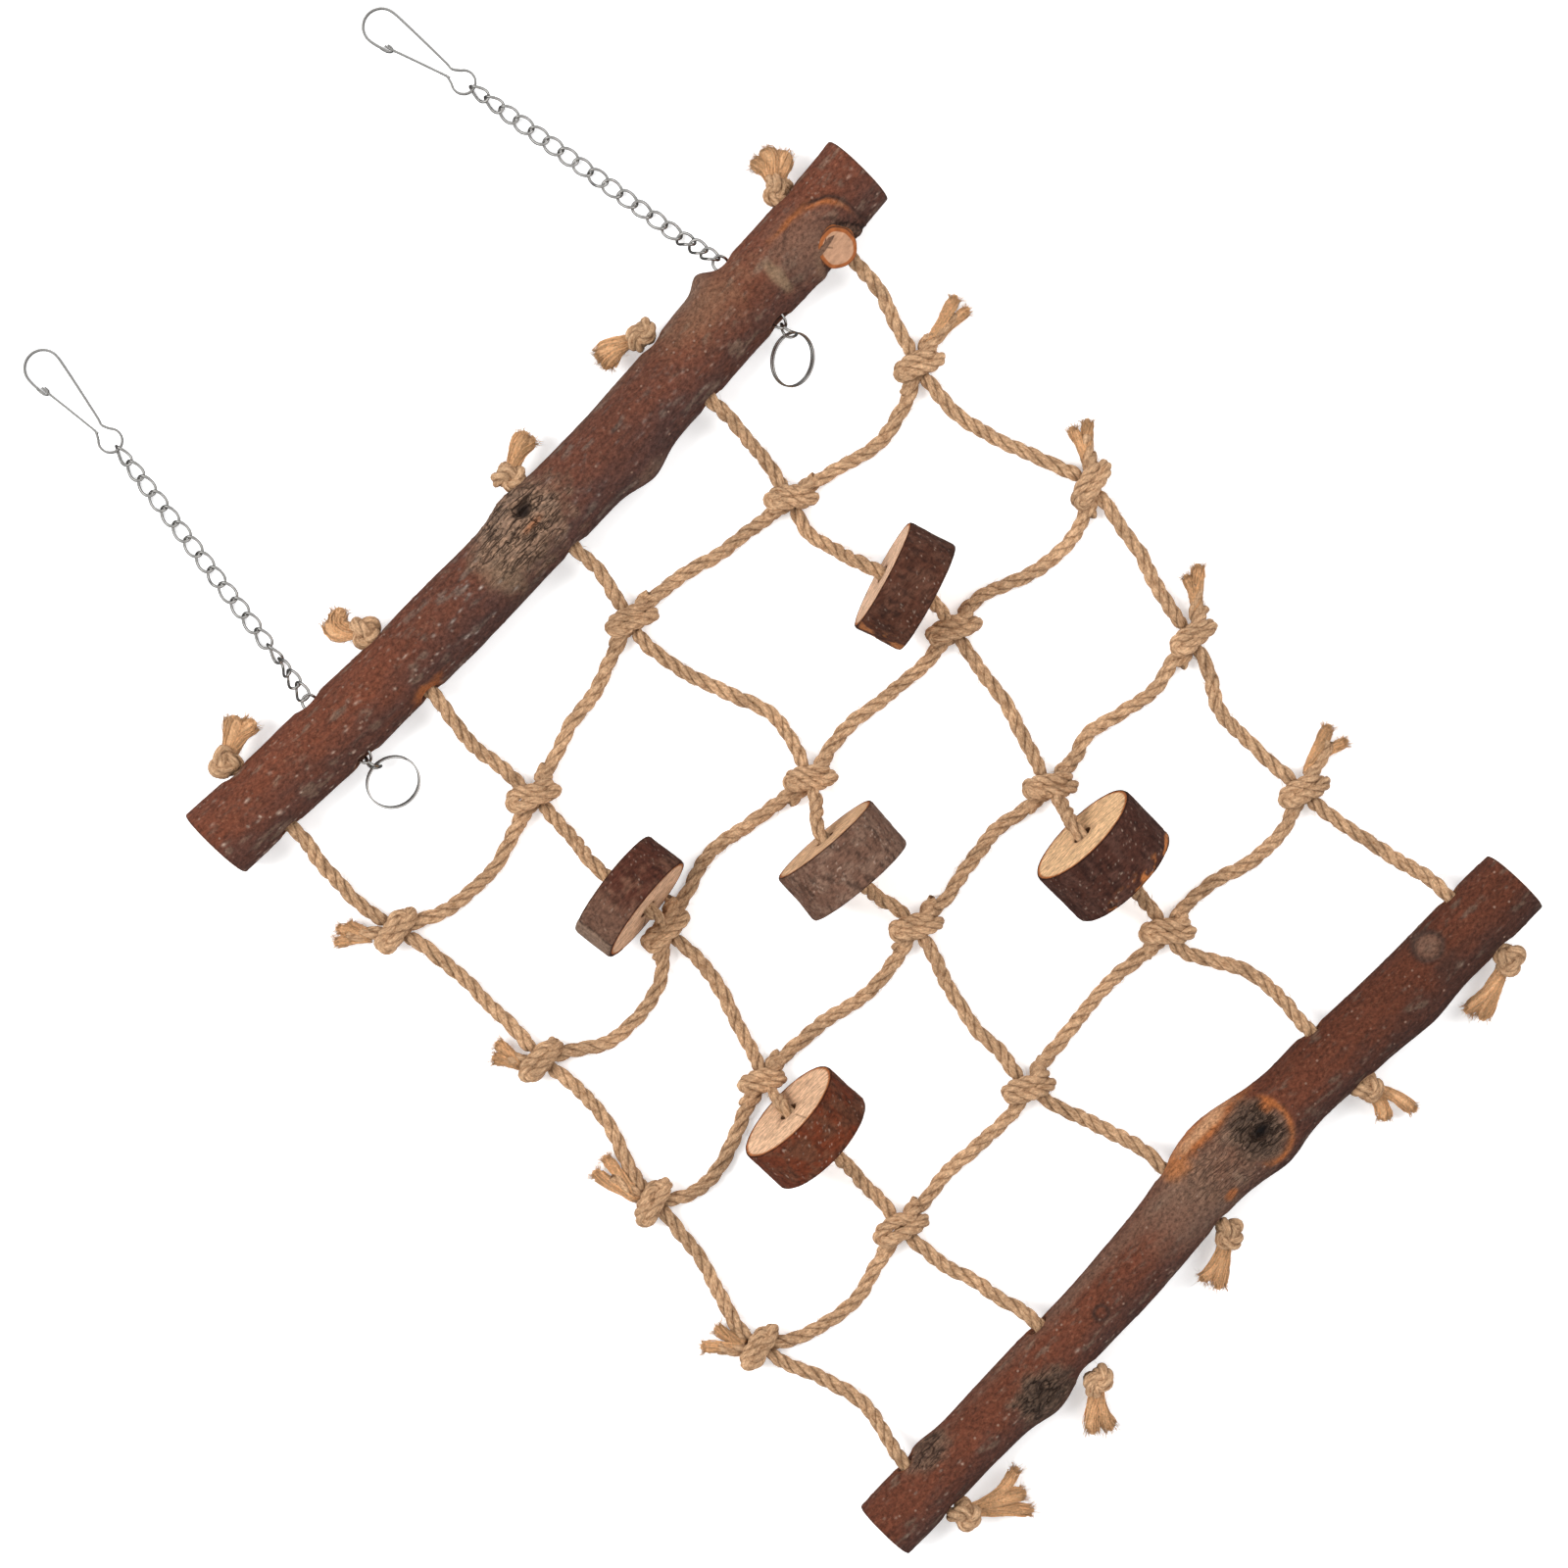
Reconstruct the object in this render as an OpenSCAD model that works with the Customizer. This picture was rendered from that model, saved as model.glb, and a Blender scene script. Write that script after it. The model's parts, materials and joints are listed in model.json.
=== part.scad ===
// A hanging climbing net for cage birds: two bark-covered perches, nine jute ropes knotted into
// a mesh, five wood slices threaded on the ropes, and two chains with snap hooks to hang it by.
// It lies flat on a surface at z = 0, with the hooks towards +Y and the perches along X.
// All lengths are in millimetres.

/* [Perches] */
// Length of the upper perch, which carries the chains
upper_len = 292; // [286:1:294]
// Mean radius of the upper perch
upper_r = 12.8; // [12.4:0.1:13.2]
// Length of the lower perch
lower_len = 284; // [280:1:286]
// Mean radius of the lower perch at its middle
lower_r = 11.1; // [10.8:0.1:11.5]
// Radius of the holes that the ropes pass through
rope_hole_r = 3.2; // [2.9:0.1:3.6]
// Radius of the holes that the chains pass through
chain_hole_r = 3.6; // [3.4:0.1:4]

/* [Ropes] */
// Diameter of the jute rope
rope_d = 4.5; // [4:0.1:4.8]
// Radius of a net knot
knot_r = 5; // [4.6:0.1:5]
// Radius of a stopper knot outside a perch
stopper_r = 5.6; // [5:0.1:6]

/* [Wood slices] */
// Mean radius of a wood slice
slice_r = 19; // [18.5:0.1:19.3]
// Radius of the bore that the rope passes through
bore_r = 3.2; // [2.9:0.1:3.6]

/* [Hanging hardware] */
// Diameter of the chain wire
link_wire = 0.9; // [0.8:0.05:0.95]
// Outer width of a chain link
link_w = 5.6; // [5.4:0.1:5.8]
// Inner length of a chain link
link_in = 6.2; // [6.1:0.05:6.3]
// Thickness of the flat hook wire
hook_t = 0.7; // [0.6:0.05:0.75]
// Height of the flat hook wire
hook_h = 1.4; // [1.2:0.1:1.5]
// Mean radius of the round end of a hook
hook_r = 5.8; // [5.6:0.1:5.9]
// Mean radius of a split ring
ring_r = 8.5; // [8.4:0.05:8.6]

/* [Hidden] */
bark = "#6b4438";
jute = "#c49a6c";
metal = "#c9cbce";
cut_wood = "#d9b48c";

// The rope ends where a fold line of the net passes through a row of knots
fold_gap = 0.4;
rope_r = rope_d / 2;
rope_sides = 8;

// Height of the hole axes in the perches
upper_z = 13;
lower_z = 11.2;
upper_x = [-upper_len / 2 + 5.3, upper_len / 2 + 5.3];
lower_x = [-lower_len / 2 - 9.5, lower_len / 2 - 9.5];
upper_holes = [-121, -60, 4.5, 67.5, 130];
lower_holes = [-132, -72, -9, 54.5, 115];
chain_holes = [-89, 100];

// Swellings on the bark: [x, angle from +Y towards +Z, half width, half angle, height]
upper_bumps = [[92, 15, 4, 30, 3.2], [86, 10, 16, 50, 1.6], [0, 25, 8, 55, 2],
    [38, 190, 9, 45, 3.4], [126, 130, 13, 60, 1.2]];
lower_bumps = [[6, 20, 20, 50, 5], [20, 180, 10, 50, 2.4], [-86, 180, 8, 45, 2.4],
    [-125, 10, 6, 40, 1.2], [84, 180, 12, 50, 1.8], [48, 0, 10, 50, 1.2]];

// Net knots, row by row from the upper perch, left to right
knots = [
    [[-122, 32, 5], [-61.5, 30, 5], [0, 46, 5], [63, 36, 5], [121, 36, 5]],
    [[-120, -29.5, 5], [-63, -29.5, 5], [3, -29.5, 5], [68.5, -29.5, 5], [131.5, -29.5, 5]],
    [[-128, -86, 5], [-76, -86, 5], [-7.5, -86, 5], [53.5, -86, 5], [119, -86, 5]],
    [[-138, -142, 5], [-80, -148.5, 5], [-20, -147, 5], [46, -144.5, 5], [108, -145, 5]]];

// Wood slices: [centre x, centre y, heading of the axis, tilt of the axis, radius, thickness]
slices = [
    [-62.5, -14.5, 6, -8, slice_r - 0.3, 13.7],
    [67, -9.5, 16, 6, slice_r - 0.2, 16],
    [-8.5, -54.8, -6, 6, slice_r + 0.2, 17.5],
    [-77, -104.2, 0, 15.5, slice_r, 15.6],
    [48.7, -112.7, -1, 14, slice_r + 0.5, 19.5]];

function axis_of(s) = [-sin(s[2]) * cos(s[3]), cos(s[2]) * cos(s[3]), sin(s[3])];
function centre_of(s) = [s[0], s[1], s[4] * cos(s[3]) + s[5] / 2 * abs(sin(s[3]))];
// The two points where a rope goes in and out of a slice, just proud of its faces
slice_out = 1.2;
function bore_ends(s) = [for (side = [1, -1]) centre_of(s) + side * (s[5] / 2 + slice_out) * axis_of(s)];

// Long ropes from left to right, each as three lengths between the knots:
// the upper length starts at the front of the upper perch, and the lower one ends at the lower perch
rope_upper = [
    [[-121, 73, 13], [-123, 63, 8], [-124, 52, 3.5], [-124, 42, 3.5],
        knots[0][0], [-120, 22, 3.2], [-119, 10, 2.3], [-119, -2, 2.3], [-119, -14, 2.6], knots[1][0]],
    [[-60, 71, 13], [-62, 62, 8.5], [-63, 52, 4], [-62, 41, 3.5],
        knots[0][1], [-62, 20, 3.5], [-63, 9, 8], [-63.4, 0, 15], each bore_ends(slices[0]),
        [-61.5, -26.5, 15], knots[1][1]],
    [[4.5, 70, 13], [4, 62, 9], [2, 54, 6], knots[0][2], [-2, 36, 3.2],
        [-1, 26, 2.3], [2, 15, 2.3], [6, 4, 2.3], [9, -8, 2.3], [7.5, -18, 2.8], knots[1][2]],
    [[67.5, 72, 13], [67.5, 64, 8.5], [66.5, 55, 4.5], [65, 46, 3.8],
        knots[0][3], [59, 25, 3.3], [60.5, 14, 7], [62.8, 6, 15], each bore_ends(slices[1]),
        [69.5, -24.5, 11], knots[1][3]],
    [[130, 71, 13], [129.5, 62, 8.5], [127.5, 54, 4.5], [124.5, 46, 3.8],
        knots[0][4], [119, 25, 3.2], [119, 14, 2.3], [121, 3, 2.3], [125, -8, 2.3],
        [129, -19, 2.8], knots[1][4]]];
rope_middle = [
    [knots[1][0], [-119, -42, 2.8], [-119, -52, 2.3], [-122, -64, 2.3], [-126, -75, 2.8], knots[2][0]],
    [knots[1][1], [-63, -41, 2.8], [-64, -52, 2.3], [-67.5, -63, 2.3], [-71.5, -74, 2.8], knots[2][1]],
    [knots[1][2], [-1, -36, 11], each bore_ends(slices[2]), [-9, -71, 12],
        [-8, -78, 7], knots[2][2]],
    [knots[1][3], [66, -41, 2.8], [64, -53, 2.3], [61, -65, 2.3], [57, -76, 2.8], knots[2][3]],
    [knots[1][4], [130, -41, 2.8], [127.5, -53, 2.3], [124, -64, 2.3], [121, -75, 2.8], knots[2][4]]];
rope_lower = [
    [knots[2][0], [-129, -98, 2.8], [-131, -110, 2.3], [-135, -122, 2.3], [-138, -132, 2.8],
        knots[3][0], [-136, -153, 3], [-132, -163, 2.3], [-129, -174, 2.8], [-129, -184, 5.5],
        [-131, -192, 9], [-132, -197, 11.2]],
    [knots[2][1], [-76.7, -92, 15], each bore_ends(slices[3]), [-77, -122, 10], [-78, -131, 4],
        [-78.5, -139, 3.2], knots[3][1], [-80, -158, 3.2], [-79, -168, 2.5], [-76, -178, 3.8],
        [-74, -187, 7.5], [-72, -196.5, 11.2]],
    [knots[2][2], [-11, -98, 2.8], [-15, -110, 2.3], [-18, -122, 2.3], [-18, -134, 2.8],
        knots[3][2], [-18.5, -157, 3], [-15, -167, 2.8], [-12, -176, 5], [-10, -184, 9],
        [-9, -189, 11.2]],
    [knots[2][3], [51.5, -93, 12], each bore_ends(slices[4]), [48.3, -130, 12], [47.5, -137, 6.5],
        knots[3][3], [45, -153, 3], [49, -161, 2.5], [53.5, -170, 2.8], [55.5, -179, 5],
        [55.5, -187, 8.5], [54.5, -193, 11.2]],
    [knots[2][4], [115, -97, 2.8], [109, -107, 2.3], [107.5, -119, 2.3], [107.5, -132, 2.8],
        knots[3][4], [108, -156, 3], [110, -167, 2.5], [112, -178, 4], [114, -188, 8],
        [115, -197, 11.2]]];

// Stopper knots behind the perches: [centre of the knot, end of its frayed tail]
upper_stoppers = [
    [[-121, 108.1, 13], [-108, 114, 9]], [[-60, 105.4, 13], [-65, 116, 8]],
    [[4.5, 106, 13], [20, 110, 9]], [[67.5, 107, 13], [52, 110, 9]],
    [[130, 107.8, 13], [138, 118, 8]]];
lower_stoppers = [
    [[-132, -227.4, 11.2], [-113, -239, 6]], [[-72, -228.6, 11.2], [-84, -240, 6]],
    [[-9, -224.4, 11.2], [-26, -234, 6]], [[54.5, -226, 11.2], [60, -241, 4]],
    [[115, -229.4, 11.2], [94, -235, 6]]];

// Cross ropes from the top row to the bottom row, left tail to right tail
cross_ropes = [
    [[-138, 45, 4], [-131, 39, 4.5], knots[0][0], [-112, 27, 3], [-100, 23.5, 2.3], [-88, 23, 2.3],
        [-75, 26, 2.8], knots[0][1], [-50, 33, 2.8], [-37, 36.5, 2.3], [-23, 39, 2.3],
        [-10, 43, 3], knots[0][2], [12, 45.5, 2.8], [25, 43, 2.3], [39, 39.5, 2.3], [51, 37.5, 2.8],
        knots[0][3], [75, 33, 2.8], [87, 29.5, 2.3], [99, 28, 2.3], [110, 30.5, 2.8], knots[0][4],
        [133, 38, 4], [146, 40, 3.5]],
    [[-129, -17, 4], [-126, -23, 4.5], knots[1][0], [-110, -36, 3], [-100, -41.5, 2.3],
        [-88, -42.5, 2.3], [-76, -39.5, 2.8], knots[1][1], [-53.5, -27.5, 3], [-44, -24.5, 2.4],
        [-33, -23.5, 2.3], [-20, -26, 2.3], [-8, -28, 3], knots[1][2], [14, -27.5, 2.8],
        [27, -27.5, 2.3], [41, -29.5, 2.3], [55, -31, 2.8], knots[1][3], [80, -29, 2.8],
        [91, -32.5, 2.3], [102, -36.5, 2.3], [112, -37.5, 2.3], [122, -35.5, 2.8], knots[1][4],
        [138, -22, 4], [145, -14, 3.5]],
    [[-132, -66, 4], [-131, -76, 4.5], knots[2][0], [-118, -93, 3], [-107, -94.5, 2.3],
        [-96, -91, 2.3], [-86, -87.3, 3], knots[2][1], [-64, -84.7, 2.8], [-52, -86, 2.3],
        [-39, -89, 2.3], [-27, -90, 2.3], [-17, -88.5, 3], knots[2][2], [6, -87, 2.8],
        [18, -85, 2.3], [30, -83.5, 2.3], [42, -85.5, 3], knots[2][3], [65, -86, 2.8],
        [74, -84, 2.3], [86, -86.5, 2.3], [98, -89.5, 2.3], [109, -87, 3], knots[2][4],
        [127, -80.5, 4], [136, -72, 3.5]],
    [[-150, -129, 4], [-145, -136, 4.5], knots[3][0], [-128, -149, 3], [-117, -153, 2.3],
        [-105, -154, 2.3], [-92, -151.5, 2.8], knots[3][1], [-69, -148.7, 2.8], [-58, -147.5, 2.3],
        [-45, -148.5, 2.3], [-32, -149.5, 2.8], knots[3][2], [-8, -145, 2.8], [5, -144, 2.3],
        [18, -143, 2.3], [33, -144, 2.8], knots[3][3], [57, -143.5, 2.8], [68, -145, 2.3],
        [80, -149, 2.3], [93, -149.5, 2.8], knots[3][4], [119, -142, 4], [130, -139, 3.5]]];

// Chains: [x and y where it leaves the perch, heading, pitch, heading of the hook,
// angle at which the last link hangs behind the perch]
chain_drop = 34;
drop_links = 3;
near_links = 8;
far_links = 9;
inner_links = 5;
chain_low = 2.85;
chains = [[-88.5, 102.5, -8.9, 6.08, -3.2, 60], [100.5, 104.5, 8.05, 5.8, 9.5, 50]];
ring_side_y = 74.6;
ring_link_end = 0.95;
hook_back = 0.8;
hook_lift = 2.4;
hook_tilt = -2.3;
eye_r = 3.8;
neck = [1.4, 9.3];
hook_far = 35.5;
ring_t = 0.9;
ring_h = 1.8;
// Split rings: [centre, heading of the tilt axis, tilt]
rings = [[[-89, 64.8, 5.05], 0, 28], [[94.8, 65.7, 6.9], 27, 43.6]];

sides = ["left", "right"];
function names(first, count, last = "") = [for (i = [1:count]) str(first, i, last)];

function unit(v) = v / norm(v);
function way(p, i) = unit(p[min(i + 1, len(p) - 1)] - p[max(i - 1, 0)]);
function ring_at(c, t, r, n) =
    let (s = unit(cross([0, 0, 1], t)), u = cross(t, s))
    [for (k = [0:n - 1]) c + r * (cos(360 * k / n) * s + sin(360 * k / n) * u)];

// Closed tube through rings of equal count
module skin(rings) {
    n = len(rings[0]);
    m = len(rings);
    polyhedron(
        points = [for (r = rings, p = r) p],
        faces = concat(
            [[for (k = [0:n - 1]) k]],
            [for (i = [0:m - 2], k = [0:n - 1], h = [0, 1])
                let (a = i * n + k, b = i * n + (k + 1) % n)
                h == 0 ? [a, a + n, b] : [b, a + n, b + n]],
            [[for (k = [n - 1:-1:0]) (m - 1) * n + k]]));
}

// Rings of a knot's round bulge of radius r around c, on a rope that runs along t
bulge_angles = [50, 75, 105, 130];
function bulge(c, t, r) =
    let (first = asin(rope_r / r))
    [for (a = [first, each bulge_angles, 180 - first]) ring_at(c - r * cos(a) * t, t, r * sin(a), rope_sides)];
function among(p, list) = len([for (q = list) if (q == p) q]) > 0;

// A rope along p, which swells to radius r at each point that is in the list of knots
module rope(p, tied = [], r = knot_r) {
    skin([for (i = [0:len(p) - 1])
        each among(p[i], tied) ? bulge(p[i], way(p, i), r) : [ring_at(p[i], way(p, i), rope_r, rope_sides)]]);
}

// The first point of a rope is moved out of the knot that belongs to the length before it
function clear_of_knot(p) =
    concat([p[0] + (knot_r + fold_gap) * unit(p[1] - p[0])], [for (i = [1:len(p) - 1]) p[i]]);

// A tail runs from its stopper knot to its frayed end, with a slight hump
function tail(s) = [s[1], (s[0] + s[1]) / 2 + [0, 0, 1], s[0]];
function reversed(p) = [for (i = [len(p) - 1:-1:0]) p[i]];

module long_rope_upper(i) {
    s = upper_stoppers[i];
    color(jute) rope(concat(tail(s), rope_upper[i]), [s[0]], stopper_r);
}

module long_rope_middle(i) {
    color(jute) rope(clear_of_knot(rope_middle[i]));
}

module long_rope_lower(i) {
    s = lower_stoppers[i];
    color(jute) rope(concat(clear_of_knot(rope_lower[i]), reversed(tail(s))), [s[0]], stopper_r);
}

module cross_rope(i) {
    color(jute) rope(cross_ropes[i], knots[i]);
}

// A branch: rings of a wavy radius along X, flattened where it meets the surface
branch_step = 7;
branch_sides = 24;
function turn(a) = abs(((a + 540) % 360) - 180);
function bump(b, x, a) = b[4] * exp(-pow((x - b[0]) / b[2], 2) - pow(turn(a - b[1]) / b[3], 2));
function swell(bumps, x, a) = let (h = [for (b = bumps) bump(b, x, a)]) h * [for (b = bumps) 1];
function grain(x, a) = 0.25 * sin(3 * a + x * 2) + 0.2 * sin(x * 7 + 2 * a);
function branch_ring(x, y, z, r, bumps) =
    [for (k = [0:branch_sides - 1])
        let (a = 360 * k / branch_sides, q = r + grain(x, a) + swell(bumps, x, a))
        [x, y + q * cos(a), max(0, z + q * sin(a))]];

function upper_y(x) = 86.6 + 4.6 * pow(x / 145, 2);
function lower_y(x) = -210.6 + 2.6 * exp(-pow((x - 5) / 45, 2)) - (x > 0 ? 1.6 * x / 130 : 0);
function lower_radius(x) = lower_r + 0.6 * x / 140;
function steps(x) = let (n = ceil((x[1] - x[0]) / branch_step)) [for (i = [0:n]) x[0] + (x[1] - x[0]) * i / n];

module hole(x, y, z, r, length) {
    translate([x, y, z]) rotate([90, 0, 0]) cylinder(r = r, h = length, center = true, $fn = 48);
}

stub_r = 6;
stub_out = 14.6;
module upper_perch() {
    color(bark) difference() {
        union() {
            skin([for (x = steps(upper_x)) branch_ring(x, upper_y(x), upper_z, upper_r, upper_bumps)]);
            // Stub of a cut side branch
            translate([128.5, upper_y(128.5), upper_z]) rotate([48, 0, 0])
                cylinder(r = stub_r, h = stub_out, $fn = 48);
        }
        for (x = upper_holes) hole(x, upper_y(x), upper_z, rope_hole_r, 50);
        for (x = chain_holes) hole(x, upper_y(x), upper_z, chain_hole_r, 50);
    }
}

module lower_perch() {
    color(bark) difference() {
        skin([for (x = steps(lower_x)) branch_ring(x, lower_y(x), lower_radius(x), lower_radius(x), lower_bumps)]);
        for (x = lower_holes) hole(x, lower_y(x), lower_z, rope_hole_r, 50);
    }
}

// A slice stands on its rim, with its axis along the rope
slice_sides = 40;
slice_wave = 0.35;
module wood_slice(i) {
    s = slices[i];
    outline = [for (k = [0:slice_sides - 1])
        let (a = 360 * k / slice_sides, q = s[4] - slice_wave * (1 + sin(3 * a + 50 * i)) / 2)
        [q * cos(a), q * sin(a)]];
    color(cut_wood) translate(centre_of(s)) rotate([0, 0, s[2]]) rotate([s[3] - 90, 0, 0]) difference() {
        linear_extrude(s[5], center = true) polygon(outline);
        cylinder(r = bore_r, h = s[5] + 4, center = true, $fn = 48);
    }
}

// One link along +Y, centred on the origin; roll 0 lies flat and 90 stands up
module link(roll) {
    bend_r = (link_w - link_wire) / 2;
    straight = link_in + link_wire - 2 * bend_r;
    rotate([0, roll, 0]) {
        for (end = [0, 1]) rotate([0, 0, 180 * end]) translate([0, straight / 2, 0])
            rotate_extrude(angle = 180, $fn = 32) translate([bend_r, 0]) circle(d = link_wire, $fn = 16);
        for (side = [-1, 1]) translate([side * bend_r, 0, 0]) rotate([90, 0, 0])
            cylinder(d = link_wire, h = straight, center = true, $fn = 16);
    }
}

module link_between(a, b, roll) {
    d = b - a;
    translate((a + b) / 2) rotate([0, 0, atan2(-d[0], d[1])])
        rotate([atan2(d[2], norm([d[0], d[1]])), 0, 0]) link(roll);
}

// Where the outer links meet: the chain drops from its hole to the surface and then lies on it
function drop_at(c, n) = min(n, drop_links) * c[3];
function chain_point(c, n) =
    let (run = drop_at(c, n) * cos(chain_drop) + max(0, n - drop_links) * c[3],
        z = n < drop_links ? upper_z - drop_at(c, n) * sin(chain_drop) : chain_low)
    [c[0] - run * sin(c[2]), c[1] + run * cos(c[2]), z];

module outer_links(c, first, last) {
    color(metal) for (n = [first:last - 1])
        link_between(chain_point(c, n), chain_point(c, n + 1), n % 2 == 0 ? 90 : 0);
}

module chain_inner(c, hole_x) {
    top = [c[0], c[1], upper_z];
    foot = [hole_x, ring_side_y, upper_z];
    color(metal) {
        for (n = [0:inner_links - 1])
            link_between(foot + (top - foot) * n / inner_links,
                foot + (top - foot) * (n + 1) / inner_links, n % 2 == 0 ? 0 : 90);
        link_between(foot + ring_link_end * link_in * [0, -cos(c[5]), -sin(c[5])], foot, 90);
    }
}

// Flat wire bent along a list of points, thick in the plane and tall across it
function side_of(p, i, w) =
    let (t = p[min(i + 1, len(p) - 1)] - p[max(i - 1, 0)], u = t / norm(t)) p[i] + w / 2 * [-u[1], u[0]];
module flat_wire(p) {
    linear_extrude(hook_h, center = true)
        polygon(concat([for (i = [0:len(p) - 1]) side_of(p, i, hook_t)],
            [for (i = [len(p) - 1:-1:0]) side_of(p, i, -hook_t)]));
}

module at_hook(c) {
    end = chain_point(c, near_links + far_links);
    translate([end[0] + hook_back * sin(c[2]), end[1] - hook_back * cos(c[2]), hook_lift])
        rotate([0, 0, c[4]]) rotate([hook_tilt, 0, 0]) children();
}

module snap_hook(c) {
    eye = [for (a = [135:15:405]) [eye_r * cos(a), eye_r + eye_r * sin(a)]];
    color(metal) at_hook(c) {
        flat_wire(concat([[-neck[0], neck[1]]], eye, [neck, [hook_r, hook_far]]));
        translate([0, hook_far, 0]) rotate_extrude(angle = 180, $fn = 64)
            translate([hook_r, 0]) square([hook_t, hook_h], center = true);
        flat_wire([[-hook_r, hook_far], [-hook_r, hook_far - 1], [-5.4, 29]]);
    }
}

gate_start = [-1.45, 9.75];
gate_end = [-4.35, 31];
module snap_hook_gate(c) {
    color(metal) at_hook(c) flat_wire([gate_start, gate_end]);
}

module split_ring(r) {
    color(metal) translate(r[0]) rotate([0, 0, r[1]]) rotate([r[2], 0, 0])
        rotate_extrude($fn = 64) translate([ring_r, 0]) square([ring_t, ring_h], center = true);
}

upper_perch();
lower_perch();
for (i = [0:4]) {
    long_rope_upper(i);
    long_rope_middle(i);
    long_rope_lower(i);
    wood_slice(i);
}
for (i = [0:3]) cross_rope(i);
for (i = [0:1]) {
    chain_inner(chains[i], chain_holes[i]);
    outer_links(chains[i], 0, near_links);
    outer_links(chains[i], near_links, near_links + far_links);
    snap_hook(chains[i]);
    snap_hook_gate(chains[i]);
    split_ring(rings[i]);
}
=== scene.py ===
"""A hanging climbing net for cage birds, laid out flat and seen from straight above."""

import json
import math

import bpy
import numpy as np
from mathutils import Matrix, Vector


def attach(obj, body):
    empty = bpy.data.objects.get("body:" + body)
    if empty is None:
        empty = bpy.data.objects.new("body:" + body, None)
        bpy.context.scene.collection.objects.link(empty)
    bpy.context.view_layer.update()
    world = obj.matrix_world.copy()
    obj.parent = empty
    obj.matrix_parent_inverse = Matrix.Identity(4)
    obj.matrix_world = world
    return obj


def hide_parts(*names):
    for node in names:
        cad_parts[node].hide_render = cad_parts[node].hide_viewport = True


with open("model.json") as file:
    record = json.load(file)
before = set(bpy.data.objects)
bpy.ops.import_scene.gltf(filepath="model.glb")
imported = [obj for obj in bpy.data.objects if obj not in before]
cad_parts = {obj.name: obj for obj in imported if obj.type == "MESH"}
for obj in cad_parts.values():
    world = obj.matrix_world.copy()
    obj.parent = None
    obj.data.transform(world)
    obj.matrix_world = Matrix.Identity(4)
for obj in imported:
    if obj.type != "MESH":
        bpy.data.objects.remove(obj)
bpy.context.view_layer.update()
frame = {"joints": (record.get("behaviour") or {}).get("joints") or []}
JOINTS = {j["name"]: j for j in frame["joints"]}

MM = 0.001
rng = np.random.default_rng(7)

# ---------------------------------------------------------------- camera, straight above
scene = bpy.context.scene
camera = bpy.data.objects.new("camera", bpy.data.cameras.new("camera"))
camera.data.lens = 100
camera.data.sensor_width = 36
camera.location = (-0.004, -0.025, 1.3828)
camera.rotation_euler = (0, 0, math.radians(-46.29))
camera.data.clip_start = 0.05
scene.collection.objects.link(camera)
scene.camera = camera

# ---------------------------------------------------------------- routes, as in the part's source
# Points in millimetres, which metres() turns into metres. "slice 1" stands for the two ends of
# that wood slice's bore, and KNOT for the next of the knots that the rope goes through.
KNOTS = [
    [(-122, 32, 5), (-61.5, 30, 5), (0, 46, 5), (63, 36, 5), (121, 36, 5)],
    [(-120, -29.5, 5), (-63, -29.5, 5), (3, -29.5, 5), (68.5, -29.5, 5), (131.5, -29.5, 5)],
    [(-128, -86, 5), (-76, -86, 5), (-7.5, -86, 5), (53.5, -86, 5), (119, -86, 5)],
    [(-138, -142, 5), (-80, -148.5, 5), (-20, -147, 5), (46, -144.5, 5), (108, -145, 5)],
]
KNOT = "knot"
UPPER = [
    [(-121, 73, 13), (-123, 63, 8), (-124, 52, 3.5), (-124, 42, 3.5), KNOT,
     (-120, 22, 3.2), (-119, 10, 2.3), (-119, -2, 2.3), (-119, -14, 2.6), KNOT],
    [(-60, 71, 13), (-62, 62, 8.5), (-63, 52, 4), (-62, 41, 3.5), KNOT,
     (-62, 20, 3.5), (-63, 9, 8), (-63.4, 0, 15), "slice 1", (-61.5, -26.5, 15), KNOT],
    [(4.5, 70, 13), (4, 62, 9), (2, 54, 6), KNOT, (-2, 36, 3.2), (-1, 26, 2.3),
     (2, 15, 2.3), (6, 4, 2.3), (9, -8, 2.3), (7.5, -18, 2.8), KNOT],
    [(67.5, 72, 13), (67.5, 64, 8.5), (66.5, 55, 4.5), (65, 46, 3.8), KNOT,
     (59, 25, 3.3), (60.5, 14, 7), (62.8, 6, 15), "slice 2", (69.5, -24.5, 11), KNOT],
    [(130, 71, 13), (129.5, 62, 8.5), (127.5, 54, 4.5), (124.5, 46, 3.8), KNOT,
     (119, 25, 3.2), (119, 14, 2.3), (121, 3, 2.3), (125, -8, 2.3), (129, -19, 2.8), KNOT],
]
MIDDLE = [
    [KNOT, (-119, -42, 2.8), (-119, -52, 2.3), (-122, -64, 2.3), (-126, -75, 2.8), KNOT],
    [KNOT, (-63, -41, 2.8), (-64, -52, 2.3), (-67.5, -63, 2.3), (-71.5, -74, 2.8), KNOT],
    [KNOT, (-1, -36, 11), "slice 3", (-9, -71, 12), (-8, -78, 7), KNOT],
    [KNOT, (66, -41, 2.8), (64, -53, 2.3), (61, -65, 2.3), (57, -76, 2.8), KNOT],
    [KNOT, (130, -41, 2.8), (127.5, -53, 2.3), (124, -64, 2.3), (121, -75, 2.8), KNOT],
]
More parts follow.
